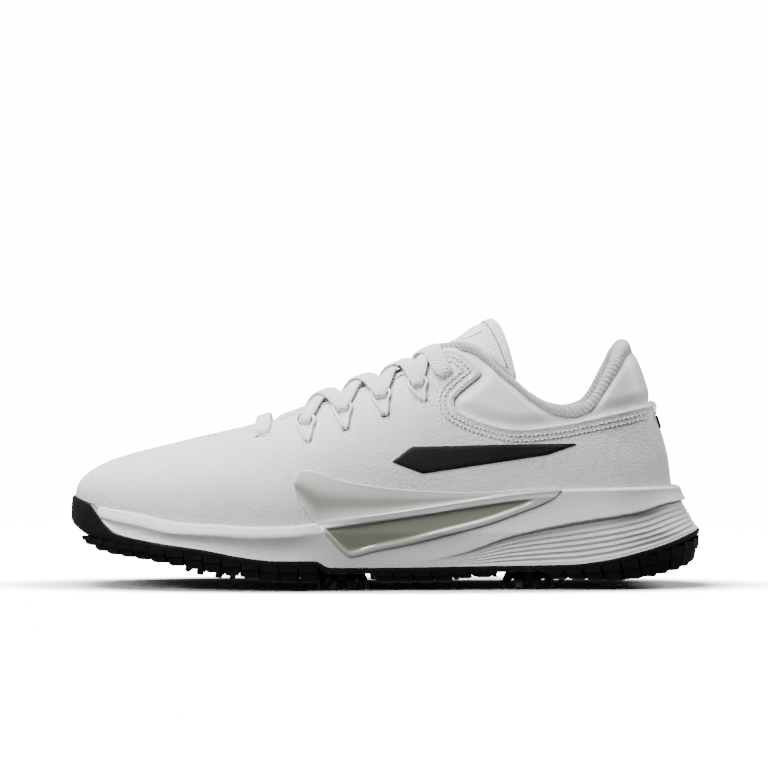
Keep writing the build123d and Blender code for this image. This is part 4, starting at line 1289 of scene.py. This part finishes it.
def make_seams():
    runs = []
    path = [p for p in EDGE if p.x > 24.0 or p.y < 100]
    for side in (-1, 1):
        for inset, slant in ((4.3, 24), (6.6, -24)):
            line = [p for p in beside_path(path, -inset)
                    if edge_distance(p.x, p.y) < 0.3 - inset and p.x < 126 and (p.x > 24 or p.y < 103)]
            runs.append((side, line, 2.1, 1.6, slant, 0.1))
        throat = [(x, height_at_width(side, x, THROAT(x) + 2.3)) for x in np.arange(-50, 24, 2.0)]
        runs.append((side, throat, 2.1, 1.6, 22, 0.1))
    obj = stitches("leather_stitching", runs, THREAD)
    # Dark dots between the stitches: painted shadow in the stitch holes.
    lots = []
    for side, line, pitch, *_ in runs:
        spots = smooth_path([(p[0], p[1], 0) for p in line], pitch)
        for p, q in zip(spots, spots[1:]):
            middle = (p + q) / 2
            point, out = skin(side, middle.x, middle.y, -0.06)
            lots.append(pit(point, out, Vector((1, 0, 0.1)).normalized(), 0.42, 0.42))
    hole_shadows = gathered("stitch_hole_shadows", lots, SHADOW)


def pit(centre, out, along, wide, tall):
    """A small disc lying on the surface, dark from its material as the painted shade of a hole."""
    across = out.cross(along).normalized()
    points = []
    for size, lift in ((1.0, 0.16), (0.82, 0.30), (0.6, 0.02)):
        for k in range(16):
            angle = 2 * math.pi * k / 16
            flat = along * wide * size * math.cos(angle) + across * tall * size * math.sin(angle)
            points.append(centre + flat + out * lift)
    return points, ring_faces(3, 16) + [tuple(32 + k for k in range(16))]


def make_holes():
    # Dark discs: painted shade inside the loop holes, the lace slot and the toe perforations.
    lots = []
    for side in (-1, 1):
        for x, z in ANCHORS:
            p, n = skin(side, x, z, relief(x, 0, z) + 0.12)
            lots.append(pit(p, n, Vector((0.9, 0, 0.35)).normalized(), 2.3, 1.0))
        p, n = skin(side, -57.2, 72.3, 0.05)
        lots.append(pit(p, n, Vector((1, 0, 0.25)).normalized(), 4.2, 1.1))
        for x, width in ((-87.5, 6.0), (-84.0, 9.0), (-80.5, 12.0), (-83.5, 4.0), (-77.5, 7.0)):
            p, n = skin(side, x, height_at_width(side, x, width), 0.0)
            lots.append(pit(p, n, Vector((1, 0, 0)), 0.55, 0.55))
    obj = gathered("leather_hole_shades", lots, HOLE_SHADE)


# ---------------------------------------------------------------- tongue
def tongue_surface():
    rows = []
    columns = 24
    for x in np.linspace(-62.0, 27.3, 74):
        row = []
        lows = {side: height_at_width(side, x, THROAT(x) + 9.0, CROWN) for side in (-1, 1)}
        for j in range(-columns, columns + 1):
            if not j:
                row.append((x, MIDLINE(x), CROWN(x)))
                continue
            side = -1 if j < 0 else 1
            low, high = climb_angle(x, lows[side], CROWN), climb_angle(x, CROWN(x) - 0.001, CROWN)
            z = climb_height(x, high + (low - high) * abs(j) / columns, CROWN)
            row.append(tuple(body_point(side, x, z, CROWN)))
        rows.append(row)
    for k in range(34):
        share = k / 33
        middle = 31.8 + 17.0 * share
        wing_x, wing_z = 42 + 19.5 * share, 113 - 12 * share**1.5
        row = []
        for j in range(-columns, columns + 1):
            part = abs(j) / columns
            x = middle + (wing_x - middle) * part ** (1.6 - 0.6 * share)
            z = min(CROWN(middle) + (wing_z - CROWN(middle)) * part**1.7, CROWN(x) - 0.001)
            row.append(tuple(body_point(-1 if j < 0 else 1, x, z, CROWN)) if j else (x, MIDLINE(x), CROWN(x)))
        rows.append(row)
    return np.array(rows)


def make_tongue():
    grid = tongue_surface()
    count = len(grid)
    depth = np.zeros(grid.shape[:2])
    for i in range(count):
        flap = smoothstep(68, 88, i)
        for j in range(grid.shape[1]):
            x, y, z = grid[i, j]
            soft = 0.35 * math.sin(x * 0.5 + z * 0.1) * math.sin(y * 0.2 + 1) * flap
            edge = min(1.0, (count - 1 - i) / 5) * min(1.0, min(j, grid.shape[1] - 1 - j) / 3)
            swell = 4.0 * (1 - smoothstep(0.55, 1.0, abs(y - MIDLINE(x)) / THROAT(x)))
            swell = swell * (1 - flap) * smoothstep(-60, -48, x)
            depth[i, j] = -(3.7 - 2.5 * flap) + swell + soft * 0.6 - 0.9 * (1 - edge) ** 2
    outer = pushed(grid, depth)
    cover = slab("tongue_padded_cover", outer, pushed(grid, depth - 4.3), LEATHER, 0.8, 60, None)
    lining = slab("tongue_back_lining", pushed(grid, depth - 4.4), pushed(grid, depth - 6.2), KNIT, 0.7, 60,
                  None)
    mark_values(lining, pushed(grid, depth - 5.3), {"along": travel(outer, 0), "across": travel(outer, 1)})
    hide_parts("tongue_cover", "tongue_foam", "tongue_flap_cover", "tongue_flap_foam")
    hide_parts("tongue_lining", "tongue_flap_lining")
    lots = []
    row = smooth_path([tuple(p) for p in outer[count - 6]], 1.7)
    normals = grid_normals(outer)[count - 6]
    for k in range(1, len(row) - 1):
        nearest = min(range(outer.shape[1]), key=lambda j: (Vector(outer[count - 6, j]) - row[k]).length)
        n = Vector(normals[nearest])
        way = (row[k + 1] - row[k - 1]).normalized()
        lots.append(tube([row[k] + way * 0.65 * t + n * (0.28 - 0.5 * t * t) for t in (-1, -0.5, 0, 0.5, 1)],
                         (0.26, 0.26), sides=6))
    seam = gathered("tongue_edge_stitching", lots, DARK_THREAD, body=FLAP)
    patch = outer[count - 27 : count - 11, 16:33]
    label = slab("tongue_label_patch", pushed(patch, 0.55), pushed(patch, -0.2), PANEL, 0.7, 50, FLAP)
    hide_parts("tongue_label")
    for obj in (cover, lining):
        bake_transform(obj)


# ---------------------------------------------------------------- laces
LACE_HALF, LACE_HALF_THICK = 3.75, 0.78
ROWS = [(-57.0, 74.0), (-37.0, 78.5), (-19.5, 84.5), (-1.3, 91.0), (16.2, 96.5), (29.0, 102.0)]


def draped(x, y):
    """A point of the surface that the laces lie on: the eyestays, and the tongue between them."""
    side, out = (-1 if y < MIDLINE(x) else 1), abs(y - MIDLINE(x))
    edge = THROAT(x)
    if out >= edge:
        return Vector((x, y, height_at_width(side, x, out)))
    share = (out / edge) ** 2
    return Vector((x, y, CROWN(x) * (1 - share) + height_at_width(side, x, edge) * share))


def draped_normal(x, y):
    a = draped(x + 1.0, y) - draped(x - 1.0, y)
    b = draped(x, y + 1.0) - draped(x, y - 1.0)
    n = a.cross(b).normalized()
    return n if n.z > 0 else -n


# How a strip's end leaves the eyestay: steps ahead, up, and how flat it still lies.
LACE_ENDS = {"fold": ((0.7, -0.25, 0.8), (1.35, -1.0, 0.35), (1.3, -1.9, -0.3), (0.4, -2.35, -0.8)),
             "tuck": ((1.2, -0.4, 0.9), (2.4, -1.5, 0.6), (3.0, -3.2, 0.2))}


def lace_run(start, end, rise, ends, width=LACE_HALF, bend=1.0):
    """One flat strip over the tongue. ends says how each end finishes: "fold" or "tuck"."""
    (x0, z0), (x1, z1) = start, end
    y0, y1 = body_point(-1, x0, z0).y, body_point(1, x1, z1).y
    path, normals = [], []
    for k in range(47):
        share = k / 46
        x, y = x0 + (x1 - x0) * share**bend, y0 + (y1 - y0) * share
        n = draped_normal(x, y)
        hump = math.sin(math.pi * share)
        path.append(draped(x, y) + n * rise(share, hump))
        normals.append(n)
    for first in (True, False):
        kind = ends[0] if first else ends[1]
        tip, near = (path[0], path[2]) if first else (path[-1], path[-3])
        n = normals[0] if first else normals[-1]
        way = (tip - near).normalized()
        extra = LACE_ENDS[kind]
        added = [tip + way * a + n * b for a, b, _ in extra]
        tilted = [(n * c + way * (1 - abs(c))).normalized() for _, _, c in extra]
        if first:
            path, normals = added[::-1] + path, tilted[::-1] + normals
        else:
            path, normals = path + added, normals + tilted
    return path, normals, width


def make_laces():
    under = lambda share, hump: 1.5 + 0.4 * hump
    over = lambda share, hump: 1.7 + 1.9 * hump
    low = lambda share, hump: 1.1 + 1.2 * hump
    runs = [lace_run(ROWS[0], ROWS[0], low, ("tuck", "tuck"))]
    for k in range(1, 5):
        last_end = "tuck" if k == 4 else "fold"
        runs.append(lace_run(ROWS[k], ROWS[k + 1], under, ("fold", last_end)))
        runs.append(lace_run(ROWS[k + 1], ROWS[k], over, (last_end, "fold"), 4.2 if k == 4 else LACE_HALF,
                             0.6 if k == 4 else 1.0))
    lots, along, across = [], [], []
    sides = 20
    for path, normals, width in runs:
        dense = catmull_rows([tuple(p) + tuple(n) for p, n in zip(path, normals)], 0.9)
        points = [Vector(p[:3]) for p in dense]
        frames = [Vector(p[3:]).normalized() for p in dense]
        ends = [min((p - points[0]).length, (p - points[-1]).length) for p in points]
        sizes = [(width * (1 - 0.24 * math.exp(-((d - 2.5) / 3.0) ** 2)), LACE_HALF_THICK) for d in ends]
        lots.append(tube(points, sizes, frames, sides))
        run = 0.0
        for i, p in enumerate(points):
            run += (p - points[i - 1]).length if i else 0.0
            for k in range(sides):
                along.append(run)
                across.append(math.cos(2 * math.pi * k / sides) * width)
    obj = gathered("woven_laces", lots, LACE, 60)
    spots = np.array([tuple(p) for lot, _ in lots for p in lot])
    mark_values(obj, spots, {"along": np.array(along), "across": np.array(across)})
    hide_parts("lace")


def catmull_rows(rows, step):
    """Rows of numbers run through evenly, step apart by their first three."""
    result = []
    for a, b in zip(rows, rows[1:]):
        length = (Vector(b[:3]) - Vector(a[:3])).length
        parts = max(1, round(length / step))
        for k in range(parts):
            t = k / parts
            result.append(tuple(p + (q - p) * t for p, q in zip(a, b)))
    result.append(rows[-1])
    soft = [result[0]]
    for a, b, c in zip(result, result[1:], result[2:]):
        soft.append(tuple((p + 2 * q + r) / 4 for p, q, r in zip(a, b, c)))
    return soft + [result[-1]]


def make_loops():
    for side, name in ((-1, "lateral"), (1, "medial")):
        lots = []
        for (x, z), (ax, az) in zip(ROWS[1:5], ANCHORS):
            corners = [(ax - 0.7, az, -0.6), (ax - 1.2, az + 1.2, 0.7), (x - 3.2, z - 2.6, 1.0),
                       (x - 4.3, z + 0.4, 1.1), (x - 2.5, z + 3.0, 1.1)]
            corners += [(x + 2.5, z + 3.0, 1.1), (x + 4.3, z + 0.4, 1.1), (x + 3.2, z - 2.6, 1.0),
                        (ax + 1.2, az + 1.2, 0.7), (ax + 0.7, az, -0.6)]
            path = smooth_path([skin(side, a, b, c)[0] for a, b, c in corners], 0.6)
            lots.append(tube(path, (0.78, 0.78), sides=10))
        obj = gathered("lace_loop_cords_" + name, lots, CORD, 70)
        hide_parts("lace_loops_" + name)


# ---------------------------------------------------------------- inside
LASTING = Curve((-149, 37.5), (-139, 33), (-120, 28), (-95, 24), (-60, 21), (-20, 20), (40, 21), (90, 23),
                (125, 25), (140, 27))


def make_inside():
    for side in (-1, 1):
        grid = leather_grid(side, np.linspace(0.12, 1, 16), np.linspace(0, 1, 6))[:225:2, :-2]
        name = "lateral" if side < 0 else "medial"
        obj = slab("quarter_knit_" + name, pushed(grid, -2.9), pushed(grid, -3.6), KNIT, 0.5, 60)
        mark_values(obj, pushed(grid, -3.3), {"along": travel(grid, 0), "across": travel(grid, 1)})
        if side < 0:
            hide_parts("vamp_lining", "quarter_lining_lateral")
        else:
            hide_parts("quarter_lining_medial")
    rows = []
    for x in np.linspace(-139.0, 127.0, 120):
        ends = rounded_end(TOE_ROUND_X - x, TOE_ROUND_X + 140.0) * rounded_end(x - 92, 36.5)
        left = MIDLINE(x) - (UPPER_LATERAL(x) - 9.4) * ends
        right = MIDLINE(x) + (UPPER_MEDIAL(x) - 9.4) * ends
        cup = 1.6 * smoothstep(30, 110, x)
        base = LASTING(x) + 7.6
        rows.append([(x, left + (right - left) * t, base + cup * (2 * t - 1) ** 4 + 0.5 * smoothstep(0, 60, x)
                      * math.cos(math.pi * (t - 0.5))) for t in np.linspace(0, 1, 30)])
    grid = np.array(rows)
    obj = slab("sockliner_padded", grid, grid - np.array([0, 0, 5.2]), SOCK, 0.6, 60)
    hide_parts("sockliner_foam", "sockliner_cover")


make_side_clip()
make_side_accents()
make_heel_tab()
make_seams()
make_holes()
make_tongue()
make_laces()
make_loops()
make_inside()

CARRIED = {"spike_receptacles": LEGS, "shank": PLASTIC, "strobel_board": BOARD, "toe_puff": BOARD,
           "heel_counter": BOARD, "eyestay_backer_lateral": BOARD, "eyestay_backer_medial": BOARD}
for name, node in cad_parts.items():
    material = HUB if name.endswith("_base") else LEGS if name.endswith("_legs") else CARRIED.get(name)
    if material:
        node.data.materials.clear()
        node.data.materials.append(material)
